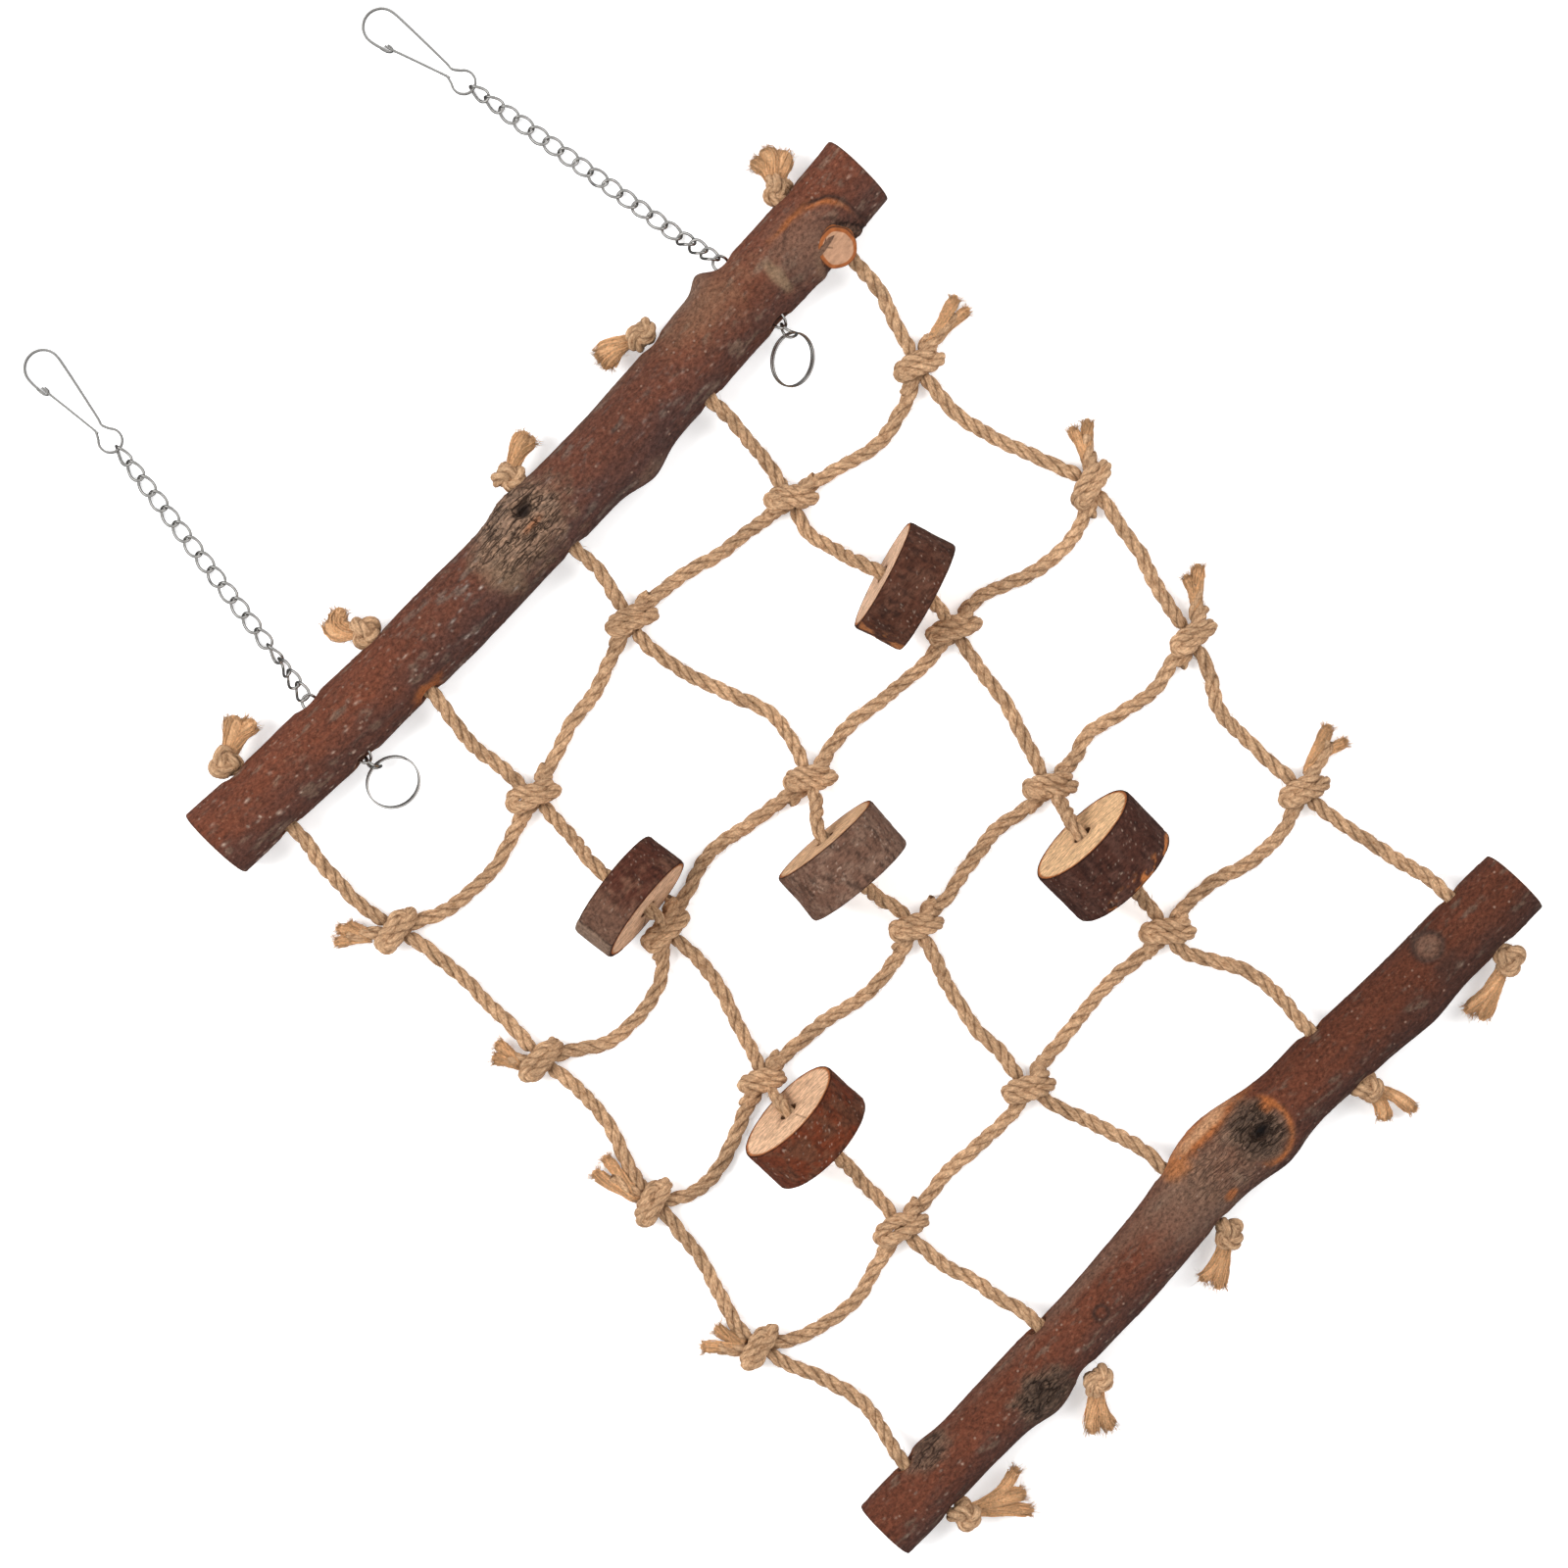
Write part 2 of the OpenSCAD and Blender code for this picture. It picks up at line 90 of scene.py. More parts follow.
LOWER = [
    [KNOT, (-129, -98, 2.8), (-131, -110, 2.3), (-135, -122, 2.3), (-138, -132, 2.8),
     KNOT, (-136, -153, 3), (-132, -163, 2.3), (-129, -174, 2.8), (-129, -184, 5.5),
     (-131, -192, 9), (-132, -197, 11.2)],
    [KNOT, (-76.7, -92, 15), "slice 4", (-77, -122, 10), (-78, -131, 4), (-78.5, -139, 3.2),
     KNOT, (-80, -158, 3.2), (-79, -168, 2.5), (-76, -178, 3.8), (-74, -187, 7.5),
     (-72, -196.5, 11.2)],
    [KNOT, (-11, -98, 2.8), (-15, -110, 2.3), (-18, -122, 2.3), (-18, -134, 2.8),
     KNOT, (-18.5, -157, 3), (-15, -167, 2.8), (-12, -176, 5), (-10, -184, 9), (-9, -189, 11.2)],
    [KNOT, (51.5, -93, 12), "slice 5", (48.3, -130, 12), (47.5, -137, 6.5), KNOT,
     (45, -153, 3), (49, -161, 2.5), (53.5, -170, 2.8), (55.5, -179, 5), (55.5, -187, 8.5),
     (54.5, -193, 11.2)],
    [KNOT, (115, -97, 2.8), (109, -107, 2.3), (107.5, -119, 2.3), (107.5, -132, 2.8),
     KNOT, (108, -156, 3), (110, -167, 2.5), (112, -178, 4), (114, -188, 8), (115, -197, 11.2)],
]
CROSS = [
    [(-138, 45, 4), (-131, 39, 4.5), KNOT, (-112, 27, 3), (-100, 23.5, 2.3), (-88, 23, 2.3),
     (-75, 26, 2.8), KNOT, (-50, 33, 2.8), (-37, 36.5, 2.3), (-23, 39, 2.3), (-10, 43, 3),
     KNOT, (12, 45.5, 2.8), (25, 43, 2.3), (39, 39.5, 2.3), (51, 37.5, 2.8), KNOT,
     (75, 33, 2.8), (87, 29.5, 2.3), (99, 28, 2.3), (110, 30.5, 2.8), KNOT,
     (133, 38, 4), (146, 40, 3.5)],
    [(-129, -17, 4), (-126, -23, 4.5), KNOT, (-110, -36, 3), (-100, -41.5, 2.3),
     (-88, -42.5, 2.3), (-76, -39.5, 2.8), KNOT, (-53.5, -27.5, 3), (-44, -24.5, 2.4),
     (-33, -23.5, 2.3), (-20, -26, 2.3), (-8, -28, 3), KNOT, (14, -27.5, 2.8),
     (27, -27.5, 2.3), (41, -29.5, 2.3), (55, -31, 2.8), KNOT, (80, -29, 2.8),
     (91, -32.5, 2.3), (102, -36.5, 2.3), (112, -37.5, 2.3), (122, -35.5, 2.8), KNOT,
     (138, -22, 4), (145, -14, 3.5)],
    [(-132, -66, 4), (-131, -76, 4.5), KNOT, (-118, -93, 3), (-107, -94.5, 2.3),
     (-96, -91, 2.3), (-86, -87.3, 3), KNOT, (-64, -84.7, 2.8), (-52, -86, 2.3),
     (-39, -89, 2.3), (-27, -90, 2.3), (-17, -88.5, 3), KNOT, (6, -87, 2.8), (18, -85, 2.3),
     (30, -83.5, 2.3), (42, -85.5, 3), KNOT, (65, -86, 2.8), (74, -84, 2.3),
     (86, -86.5, 2.3), (98, -89.5, 2.3), (109, -87, 3), KNOT, (127, -80.5, 4), (136, -72, 3.5)],
    [(-150, -129, 4), (-145, -136, 4.5), KNOT, (-128, -149, 3), (-117, -153, 2.3),
     (-105, -154, 2.3), (-92, -151.5, 2.8), KNOT, (-69, -148.7, 2.8), (-58, -147.5, 2.3),
     (-45, -148.5, 2.3), (-32, -149.5, 2.8), KNOT, (-8, -145, 2.8), (5, -144, 2.3),
     (18, -143, 2.3), (33, -144, 2.8), KNOT, (57, -143.5, 2.8), (68, -145, 2.3),
     (80, -149, 2.3), (93, -149.5, 2.8), KNOT, (119, -142, 4), (130, -139, 3.5)],
]
# Stopper knots behind the perches
UPPER_STOPPERS = [(-120.4, 106.5, 13), (-60.2, 103.3, 13), (6, 104.2, 13), (67, 104.9, 13),
                  (129.5, 105.2, 13)]
LOWER_STOPPERS = [(-131, -224.8, 11.2), (-71.5, -226.4, 11.2), (-9.3, -223.8, 11.2), (54, -223.2, 11.2),
                  (114, -228, 11.2)]
UPPER_Z = 13
LOWER_Z = 11.2
CHAIN_HOLES = [-89, 100]
SLICE_THICKNESS = [13.7, 16, 17.5, 15.6, 19.5]
SLICE_RADIUS = [18.7, 18.8, 19.2, 19, 19.5]
BORE_CLEAR = 1.2
ROPE_D = 4.5


# ---------------------------------------------------------------- curves and meshes
def smooth(points, step):
    """A smooth curve through the points, as evenly spaced rows of coordinates."""
    p = np.asarray(points, float)
    p = np.vstack([2 * p[0] - p[1], p, 2 * p[-1] - p[-2]])
    rows = []
    for a, b, c, d in zip(p[:-3], p[1:-2], p[2:-1], p[3:]):
        k = np.array([0.0, *np.cumsum([np.linalg.norm(v) ** 0.5 + 1e-9 for v in (b - a, c - b, d - c)])])
        t = np.linspace(k[1], k[2], 24, endpoint=False)[:, None]
        ab = (k[1] - t) / (k[1] - k[0]) * a + (t - k[0]) / (k[1] - k[0]) * b
        bc = (k[2] - t) / (k[2] - k[1]) * b + (t - k[1]) / (k[2] - k[1]) * c
        cd = (k[3] - t) / (k[3] - k[2]) * c + (t - k[2]) / (k[3] - k[2]) * d
        abc = (k[2] - t) / (k[2] - k[0]) * ab + (t - k[0]) / (k[2] - k[0]) * bc
        bcd = (k[3] - t) / (k[3] - k[1]) * bc + (t - k[1]) / (k[3] - k[1]) * cd
        rows.append((k[2] - t) / (k[2] - k[1]) * abc + (t - k[1]) / (k[2] - k[1]) * bcd)
    return resample(np.vstack(rows + [p[-2:-1]]), step)


def arc(p):
    """The way along the curve at each row."""
    return np.r_[0, np.cumsum(np.linalg.norm(np.diff(p, axis=0), axis=1))]


def resample(p, step):
    s = arc(p)
    n = max(2, int(round(s[-1] / step)) + 1)
    t = np.linspace(0, s[-1], n)
    return np.stack([np.interp(t, s, p[:, k]) for k in range(3)], axis=1)


def frames(p):
    """Tangent and two normals at each row, carried along without twist."""
    t = np.gradient(p, axis=0)
    t /= np.linalg.norm(t, axis=1)[:, None] + 1e-12
    n = np.zeros_like(t)
    v = np.cross((0, 0, 1), t[0])
    if np.linalg.norm(v) < 1e-6:
        v = np.cross((1, 0, 0), t[0])
    for i, w in enumerate(t):
        v = v - np.dot(v, w) * w
        v /= np.linalg.norm(v)
        n[i] = v
    return t, n, np.cross(t, n)


class Build:
    """Collects tubes into one mesh, with a UV along and around each tube and a tint at each vertex."""

    def __init__(self):
        self.verts, self.faces, self.uvs, self.tint, self.count = [], [], [], [], 0

    def grid(self, rings, uv=None, caps=True, loop=False, tint=None):
        """rings is (m, n, 3): the n points of a ring join round, and the last ring joins the first
        in a loop, or else both end rings are capped."""
        m, n = rings.shape[:2]
        base = self.count
        self.verts.append(rings.reshape(-1, 3))
        if tint is None:
            tint = np.zeros((m, n, 3))
        self.tint.append(tint.reshape(-1, 3))
        i, k = np.meshgrid(np.arange(m if loop else m - 1), np.arange(n), indexing="ij")
        after_i, after_k = (i + 1) % m, (k + 1) % n
        quads = np.stack([i * n + k, i * n + after_k, after_i * n + after_k, after_i * n + k], axis=-1)
        self.faces.append(quads.reshape(-1, 4) + base)
        if uv is None:
            uv = np.zeros((m, 2))
        corners = [uv[row] + np.stack([(k + step) / n, np.zeros(k.shape)], axis=-1)
                   for row, step in ((i, 0), (i, 1), (after_i, 1), (after_i, 0))]
        self.uvs.append(np.stack(corners, axis=2).reshape(-1, 2))
        self.count += m * n
        if caps and not loop:
            for ring, flip in ((0, True), (m - 1, False)):
                self.verts.append(rings[ring].mean(0)[None])
                self.tint.append(tint[ring, :1])
                edge = base + ring * n + np.arange(n)
                after = np.roll(edge, -1)
                mid = np.full(n, self.count)
                self.faces.append(np.stack([after, edge, mid] if flip else [edge, after, mid], -1))
                self.uvs.append(np.tile(uv[ring], (3 * n, 1)))
                self.count += 1

    def tube(self, p, radius, sides, turn=0.0, uv_v=None, axis=None, reach=1.0, pale=0.0):
        """A tube round the rows of p; radius is a number or one per row. The tint's red channel is
        how far out a point lies from axis, which the jute material turns into painted shade in the
        grooves, and its blue channel is pale."""
        _, n, b = frames(p)
        a = np.linspace(0, 2 * np.pi, sides, endpoint=False)[None, :] + np.broadcast_to(turn, len(p))[:, None]
        r = np.broadcast_to(radius, len(p))[:, None, None]
        rings = p[:, None] + r * (np.cos(a)[..., None] * n[:, None] + np.sin(a)[..., None] * b[:, None])
        v = arc(p) if uv_v is None else uv_v
        tint = np.ones(rings.shape)
        if axis is not None:
            reach = np.broadcast_to(reach, len(p))[:, None]
            tint[..., 0] = np.linalg.norm(rings - axis[:, None], axis=2) / reach
        tint[..., 2] = pale
        self.grid(rings, np.stack([np.zeros(len(p)), v], -1), tint=tint)

    def keep_above(self, floor):
        for part in self.verts:
            part[:, 2] = np.maximum(part[:, 2], floor)

    def object(self, name, material):
        verts = np.vstack(self.verts)
        mesh = bpy.data.meshes.new(name)
        sizes = np.concatenate([np.full(len(f), f.shape[1]) for f in self.faces])
        loops = np.concatenate([f.reshape(-1) for f in self.faces])
        mesh.vertices.add(len(verts))
        mesh.vertices.foreach_set("co", verts.astype(np.float32).ravel())
        mesh.loops.add(len(loops))
        mesh.loops.foreach_set("vertex_index", loops.astype(np.int32))
        mesh.polygons.add(len(sizes))
        mesh.polygons.foreach_set("loop_start", np.r_[0, np.cumsum(sizes)[:-1]].astype(np.int32))
        mesh.polygons.foreach_set("use_smooth", np.ones(len(sizes), bool))
        layer = mesh.uv_layers.new(name="along")
        layer.data.foreach_set("uv", np.vstack(self.uvs).astype(np.float32).ravel())
        tint = np.ones((len(verts), 4), np.float32)
        tint[:, :3] = np.vstack(self.tint)
        colour = mesh.color_attributes.new("tint", "FLOAT_COLOR", "POINT")
        colour.data.foreach_set("color", tint.ravel())
        mesh.update(calc_edges=True)
        mesh.validate()
        mesh.materials.append(material)
        obj = bpy.data.objects.new(name, mesh)
        scene.collection.objects.link(obj)
        return obj


# ---------------------------------------------------------------- jute rope
LAY = 17 * MM
STRAND_SIDES = 12
STRAND_STEP = 0.55 * MM


def strands(build, p, d=ROPE_D * MM, size=None, phase=0.0, lay=LAY):
    """Three strands laid round the rows of p. size scales the rope along its length."""
    s = arc(p)
    _, n, b = frames(p)
    scale = np.ones(len(p)) if size is None else size
    twist = 2 * np.pi * s / lay + phase + 0.35 * np.sin(s / (6 * MM) + phase) + 0.2 * np.sin(s / (2.6 * MM))
    for k in range(3):
        a = twist + 2 * np.pi * k / 3
        r = d / 2 * 0.50 * scale
        centre = p + r[:, None] * (np.cos(a)[:, None] * n + np.sin(a)[:, None] * b)
        wobble = 1 + 0.07 * np.sin(s / (3.1 * MM) + 2 * k + phase) + 0.05 * np.sin(s / (1.1 * MM) + 5 * k)
        # The tint keeps how far out each point lies from the rope's axis, for the painted shade in the
        # grooves
        build.tube(centre, d / 2 * 0.56 * scale * wobble, STRAND_SIDES, turn=-twist * 0.6 + k,
                   uv_v=s + 0.037 * k, axis=p, reach=d / 2 * scale)


def fuzz(build, p, count, reach=3.4 * MM, radius=ROPE_D / 2 * MM * 0.92):
    """Loose jute fibres that stand off the rope, each a thin three-sided spike."""
    t, n, b = frames(p)
    for i in rng.integers(1, len(p) - 1, count):
        a = rng.uniform(0, 2 * np.pi)
        out = np.cos(a) * n[i] + np.sin(a) * b[i]
        side = np.cross(t[i], out)
        root = p[i] + out * radius
        length = reach * rng.uniform(0.35, 1.0) ** 1.5
        lean = t[i] * rng.choice((-1, 1)) * rng.uniform(0.8, 2.2) + side * rng.normal(0, 0.9)
        mid = root + (out * rng.uniform(0.25, 0.7) + lean * 0.5) * length * 0.5
        tip = mid + (out * rng.uniform(-0.1, 0.8) + lean * 0.5 + rng.normal(0, 0.25, 3)) * length * 0.5
        rows = np.array([root - out * 0.3 * MM, mid, tip])
        if rows[:, 2].min() < 0.02 * MM:
            rows[:, 2] = np.maximum(rows[:, 2], 0.05 * MM)
        w = rng.uniform(0.04, 0.085) * MM
        rings = []
        for row, width in zip(rows, (w, w * 0.8, w * 0.25)):
            rings.append([row + width * (math.cos(c) * side + math.sin(c) * out) for c in (0, 2.1, 4.2)])
        build.grid(np.array(rings), np.zeros((3, 2)), tint=np.full((3, 3, 3), (1.0, 0, rng.uniform(0, 0.9))))


def slice_ends(i):
    """The points where the rope goes in and out of wood slice i."""
    joint = JOINTS[f"wood_slice_{i + 1}_spin"]
    centre = np.array(joint["pos_m"])
    axis = np.array(joint["axis"]) / np.linalg.norm(joint["axis"])
    reach = (SLICE_THICKNESS[i] / 2 + BORE_CLEAR) * MM
    return [tuple((centre + reach * axis) / MM), tuple((centre - reach * axis) / MM)]


def metres(route, knots):
    """The route's points in metres, with the knots and the slices' ends filled in."""
    rows, knots = [], iter(knots)
    for q in route:
        if q == KNOT:
            rows.append(next(knots))
        elif isinstance(q, str):
            rows += slice_ends(int(q[-1]) - 1)
        else:
            rows.append(q)
    return np.array(rows, float) * MM


def clear_of_knot(p):
    """Moves the first point away from the middle of the knot that it starts in."""
    gap = 2.2 * MM
    way = (p[1] - p[0]) / np.linalg.norm(p[1] - p[0])
    return np.vstack([p[0] + gap * way, p[1:]])


# ---------------------------------------------------------------- noise for wood and bark
class Noise:
    """Smooth value noise on a repeating lattice."""

    def __init__(self, seed):
        self.table = np.random.default_rng(seed).random((32, 32, 32))

    def at(self, q):
        i = np.floor(q).astype(int)
        f = q - i
        f = f * f * (3 - 2 * f)
        total = 0
        for d in np.ndindex(2, 2, 2):
            w = 1
            for k in range(3):
                w = w * (f[..., k] if d[k] else 1 - f[..., k])
            j = (i + d) % 32
            total = total + w * self.table[j[..., 0], j[..., 1], j[..., 2]]
        return total

    def layers(self, q, count=4, gain=0.5):
        total, weight, size = 0, 1.0, 0
        for k in range(count):
            total = total + weight * self.at(q * 2 ** k + 7.3 * k)
            size += weight
            weight *= gain
        return total / size


def mix(a, b, f):
    f = np.clip(np.asarray(f), 0, 1)[..., None]
    return np.asarray(a) * (1 - f) + np.asarray(b) * f


def rise(x, lo, hi):
    """A smooth step from 0 at lo to 1 at hi."""
    t = np.clip((x - lo) / (hi - lo), 0, 1)
    return t * t * (3 - 2 * t)


# Colours of bark and wood, as linear light
BARK_RED = (0.120, 0.038, 0.021)
# The purple below is painted shade for the front side of the perches' bark
BARK_SHADE_PURPLE = (0.068, 0.033, 0.026)
BARK_GREY = (0.150, 0.092, 0.064)
BARK_DARK = (0.040, 0.021, 0.016)
BARK_PALE = (0.38, 0.28, 0.22)
INNER_ORANGE = (0.30, 0.095, 0.028)
CUT_PALE = (0.52, 0.300, 0.185)
CRACK_GREY = (0.170, 0.110, 0.076)
# The black below is the dark wood of knots, and painted shade inside the perches' bored holes
BLACK_WOOD_AND_HOLE_SHADE = (0.018, 0.012, 0.010)


# ---------------------------------------------------------------- materials
class Shading:
    """A material and the nodes that colour it. Each call adds one node and gives its output."""

    def __init__(self, name, roughness, metallic=0.0):
        self.material = bpy.data.materials.new(name)
        self.material.use_nodes = True
        self.tree = self.material.node_tree
        self.shader = self.tree.nodes["Principled BSDF"]
        self.shader.inputs["Roughness"].default_value = roughness
        self.shader.inputs["Metallic"].default_value = metallic

    def add(self, kind, output, inputs=None, **settings):
        """inputs gives a value or another node's output for each named socket."""
        node = self.tree.nodes.new("ShaderNode" + kind)
        for key, value in settings.items():
            setattr(node, key, value)
        for key, value in (inputs or {}).items():
            if isinstance(value, bpy.types.NodeSocket):
                self.tree.links.new(value, node.inputs[key])
            else:
                node.inputs[key].default_value = value
        return node.outputs[output]

    def place(self):
        return self.add("TexCoord", "Object")

    def stretch(self, vector, scale, turn=0.0):
        return self.add("Mapping", "Vector", {"Vector": vector, "Scale": scale, "Rotation": (0, 0, turn)})

    def noise(self, vector, scale, detail, roughness=0.5, distortion=0.0):
        return self.add("TexNoise", "Fac", {"Vector": vector, "Scale": scale, "Detail": detail,
                                            "Roughness": roughness, "Distortion": distortion})

    def math(self, operation, *values):
        return self.add("Math", "Value", dict(enumerate(values)), operation=operation)

    def ramp(self, source, low, high, to_low=0.0, to_high=1.0):
        return self.add("MapRange", "Result", {"Value": source, "From Min": low, "From Max": high,
                                               "To Min": to_low, "To Max": to_high})

    def mix(self, factor, a, b):
        return self.add("Mix", "Result", {"Factor": factor, "A": a, "B": b}, data_type="RGBA")

    def shade(self, colour, factor):
        return self.add("VectorMath", "Vector", {0: colour, "Scale": factor}, operation="SCALE")

    def matte(self, colour, height, strength, depth):
        """A matte surface of this colour, with relief from height."""
        bump = self.add("Bump", "Normal", {"Height": height, "Strength": strength, "Distance": depth})
        self.tree.links.new(colour, self.shader.inputs["Base Color"])
        self.tree.links.new(bump, self.shader.inputs["Normal"])
        self.shader.inputs["Specular IOR Level"].default_value = 0.12
        return self.material


def jute_material():
    """The mesh's tint tells the grooves between strands (red), which are painted with shade, and the paler
    cut ends (blue).
    """
    m = Shading("jute", 0.82)
    red = m.add("SeparateColor", "Red", {"Color": m.add("Attribute", "Color", attribute_name="tint")})
    # Fibres run along each strand and slightly across it
    along = m.stretch(m.add("UVMap", "UV", uv_map="along"), (9, 420, 1), 0.02)
    streaks = m.noise(along, 1.0, 6.0, 0.72)
    place = m.place()
    patches = m.noise(place, 110.0, 2.0)
    hairs = m.noise(place, 1300.0, 5.0, 0.8)
    fibre = m.mix(m.ramp(streaks, 0.34, 0.60), (0.270, 0.130, 0.060, 1), (0.71, 0.455, 0.268, 1))
    pale = m.mix(red.node.outputs["Blue"], fibre, (0.95, 0.52, 0.25, 1))
    # Painted shade: points near the rope's axis, down in the grooves between strands, are darkened; the
    # patches add an uneven tone
    dark = m.math("MULTIPLY", m.ramp(red, 0.58, 0.92, 0.46, 1.0), m.ramp(patches, 0.3, 0.7, 0.78, 1.12))
    light = m.math("MULTIPLY", dark, m.ramp(hairs, 0.33, 0.62, 0.62, 1.22))
    return m.matte(m.shade(pale, light), m.math("ADD", streaks, hairs), 1.0, 0.0007)


def wood_material(name, roughness, relief, grain, tones, scale, cracks=False):
    """Colour comes from the mesh, with a fine grain and relief added here, and fine cracks
    where the mesh says that the bark is rough."""
    m = Shading(name, roughness)
    place = m.place()
    stretched = m.stretch(place, grain)
    fine = m.noise(stretched, scale, 6.0, 0.7)
    colour = m.shade(m.add("Attribute", "Color", attribute_name="tint"), m.ramp(fine, 0.34, 0.66, *tones))
    height = m.math("ADD", fine, m.noise(stretched, 260.0, 4.0))
    if cracks:
        # Small pale spots where the bark is smooth
        cells = m.add("TexVoronoi", "Distance", {"Vector": place, "Scale": 430.0})
        some = m.ramp(cells.node.outputs["Color"], 0.62, 0.80)
        spots = m.math("MULTIPLY", m.ramp(cells, 0.10, 0.24, 1, 0), some)
        colour = m.mix(spots, colour, (0.22, 0.135, 0.10, 1))
        # A crack is where a stretched noise crosses its mean
        long = m.stretch(place, (0.26, 1, 1))
        lines = []
        for scale, width, weight in ((300.0, 0.036, 1.0), (620.0, 0.030, 0.7)):
            away = m.math("ABSOLUTE", m.math("SUBTRACT", m.noise(long, scale, 2.0, 0.5, 0.5), 0.5))
            lines.append(m.ramp(away, 0.0, width, weight, 0))
        rough = m.add("Attribute", "Fac", attribute_name="rough")
        crack = m.math("MULTIPLY", m.math("MAXIMUM", *lines), rough)
        colour = m.mix(crack, colour, (0.022, 0.012, 0.008, 1))
        height = m.math("SUBTRACT", height, m.math("MULTIPLY", crack, 2.5))
    return m.matte(colour, height, relief, 0.0004)


def metal_material():
    m = Shading("nickel", 0.2, 1.0)
    m.shader.inputs["Base Color"].default_value = (0.62, 0.605, 0.58, 1)
    return m.material


JUTE = jute_material()
BARK = wood_material("bark", 0.72, 0.9, (0.8, 1, 1), (0.50, 1.44), 950, cracks=True)
SAWN = wood_material("cut_wood", 0.75, 0.6, (0.6, 1, 1), (0.80, 1.18), 620)
SLICE = wood_material("slice", 0.74, 1.0, (0.45, 1, 1), (0.52, 1.46), 950)
NICKEL = metal_material()


def add(obj, body, slot, *nodes):
    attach(obj, body)
    if nodes:
        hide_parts(*nodes)
    return obj


# ---------------------------------------------------------------- ropes
def near_knots(p, knots, reach=6 * MM):
    """1 away from the knots and 0 in their middles."""
    f = np.ones(len(p))
    for k in knots:
        d = np.linalg.norm(p[:, :2] - np.array(k[:2]) * MM, axis=1)
        f = np.minimum(f, rise(d, 0.55 * reach, reach))
    return f


def rope_object(name, body, node_name, route, knots, cut=(0, 0), start_trim=False):
    """One rope along its route: strands, with its loose fibres as a piece of their own."""
    points = metres(route, knots)
    if start_trim:
        points = clear_of_knot(points)
    p = smooth(points, STRAND_STEP)
    p = p[int(cut[0] / STRAND_STEP):len(p) - int(cut[1] / STRAND_STEP)]
    s = arc(p)
    f = near_knots(p, knots)
    p = p - np.outer(1 - f, [0, 0, 1.2 * MM])
    sway = rng.uniform(0, 6, 4)
    p[:, 0] += 0.16 * MM * (np.sin(s / (5.3 * MM) + sway[0]) + np.sin(s / (2.9 * MM) + sway[1]))
    p[:, 1] += 0.16 * MM * (np.sin(s / (4.7 * MM) + sway[2]) + np.sin(s / (3.3 * MM) + sway[3]))
    build = Build()
    strands(build, p, size=(0.66 + 0.34 * f) * (1 + 0.03 * np.sin(s / (7 * MM) + sway[0])), phase=sway[1])
    obj = add(build.object(name, JUTE), body, "jute", node_name)
    loose = Build()
    fuzz(loose, p, int(s[-1] / MM * 3.0))
    add(loose.object(name + "_fibres", JUTE), body, "jute")
    return obj, p, s[-1]


NET_KNOT = [(-10, -0.5, -1.5), (-5, -0.6, -1.6), (0, -2.2, -2.4), (4, -4.4, -1.4), (5.3, -4.9, 1.0),
            (2.6, -4.0, 2.9), (-1, -1.4, 3.5), (-4.2, 0.8, 3.1), (-6.0, 2.6, 2.0), (-5.2, 4.4, 1.8),
            (-2.4, 3.9, 2.9), (1, 1.5, 3.6), (4.4, -0.9, 3.0), (6.3, -0.9, 0.9), (5.8, 0.6, -1.3),
            (10, 0.5, -1.5)]


def knot_object(name, body, centre, along, swing, size, ends):
    """A rope's turns in one knot of the net, turned by swing from the cross rope's way, with or
    without the ends that lie along the cross rope."""
    local = np.array(NET_KNOT, float)
    local[2:-2] += rng.normal(0, 0.2, (len(local) - 4, 3))
    local[2:-2, :2] *= size * rng.uniform(0.94, 1.06)
    if not ends:
        local = local[1:-1]
    x = np.array([*along[:2], 0.0]) / np.linalg.norm(along[:2])
    y = np.array([-x[1], x[0], 0.0])
    c, s = math.cos(swing), math.sin(swing)
    turned = local.copy()
    turned[2:-2, 0] = c * local[2:-2, 0] - s * local[2:-2, 1]
    turned[2:-2, 1] = s * local[2:-2, 0] + c * local[2:-2, 1]
    rows = np.array(centre) * MM + (turned[:, :1] * x + turned[:, 1:2] * y + turned[:, 2:] * (0, 0, 1)) * MM
    p = smooth(rows, STRAND_STEP)
    build = Build()
    strands(build, p, d=ROPE_D * 0.97 * MM, phase=rng.uniform(0, 6), lay=10 * MM)
    build.keep_above(0.05 * MM)
    fuzz(build, p, 40, reach=2.6 * MM)
    return add(build.object(name, JUTE), body, "jute")


def stopper_object(name, body, centre, turn):
    """An overhand knot, pulled tight, behind a perch."""
    t = np.linspace(0, 2 * np.pi, 120)
    c = 1.22
    local = np.stack([c * (np.sin(t) + 2 * np.sin(2 * t)), c * (np.cos(t) - 2 * np.cos(2 * t)),
                      -1.5 * c * np.sin(3 * t)], axis=-1)
    spin = Matrix.Rotation(turn, 3, "Z") @ Matrix.Rotation(0.5 * turn, 3, "X")
    rows = (local @ np.array(spin).T + centre) * MM
    p = resample(rows, STRAND_STEP)
    build = Build()
    strands(build, p, d=4.6 * MM, phase=turn, lay=10 * MM)
    fuzz(build, p, 50, reach=3.0 * MM)
    return add(build.object(name, JUTE), body, "jute")


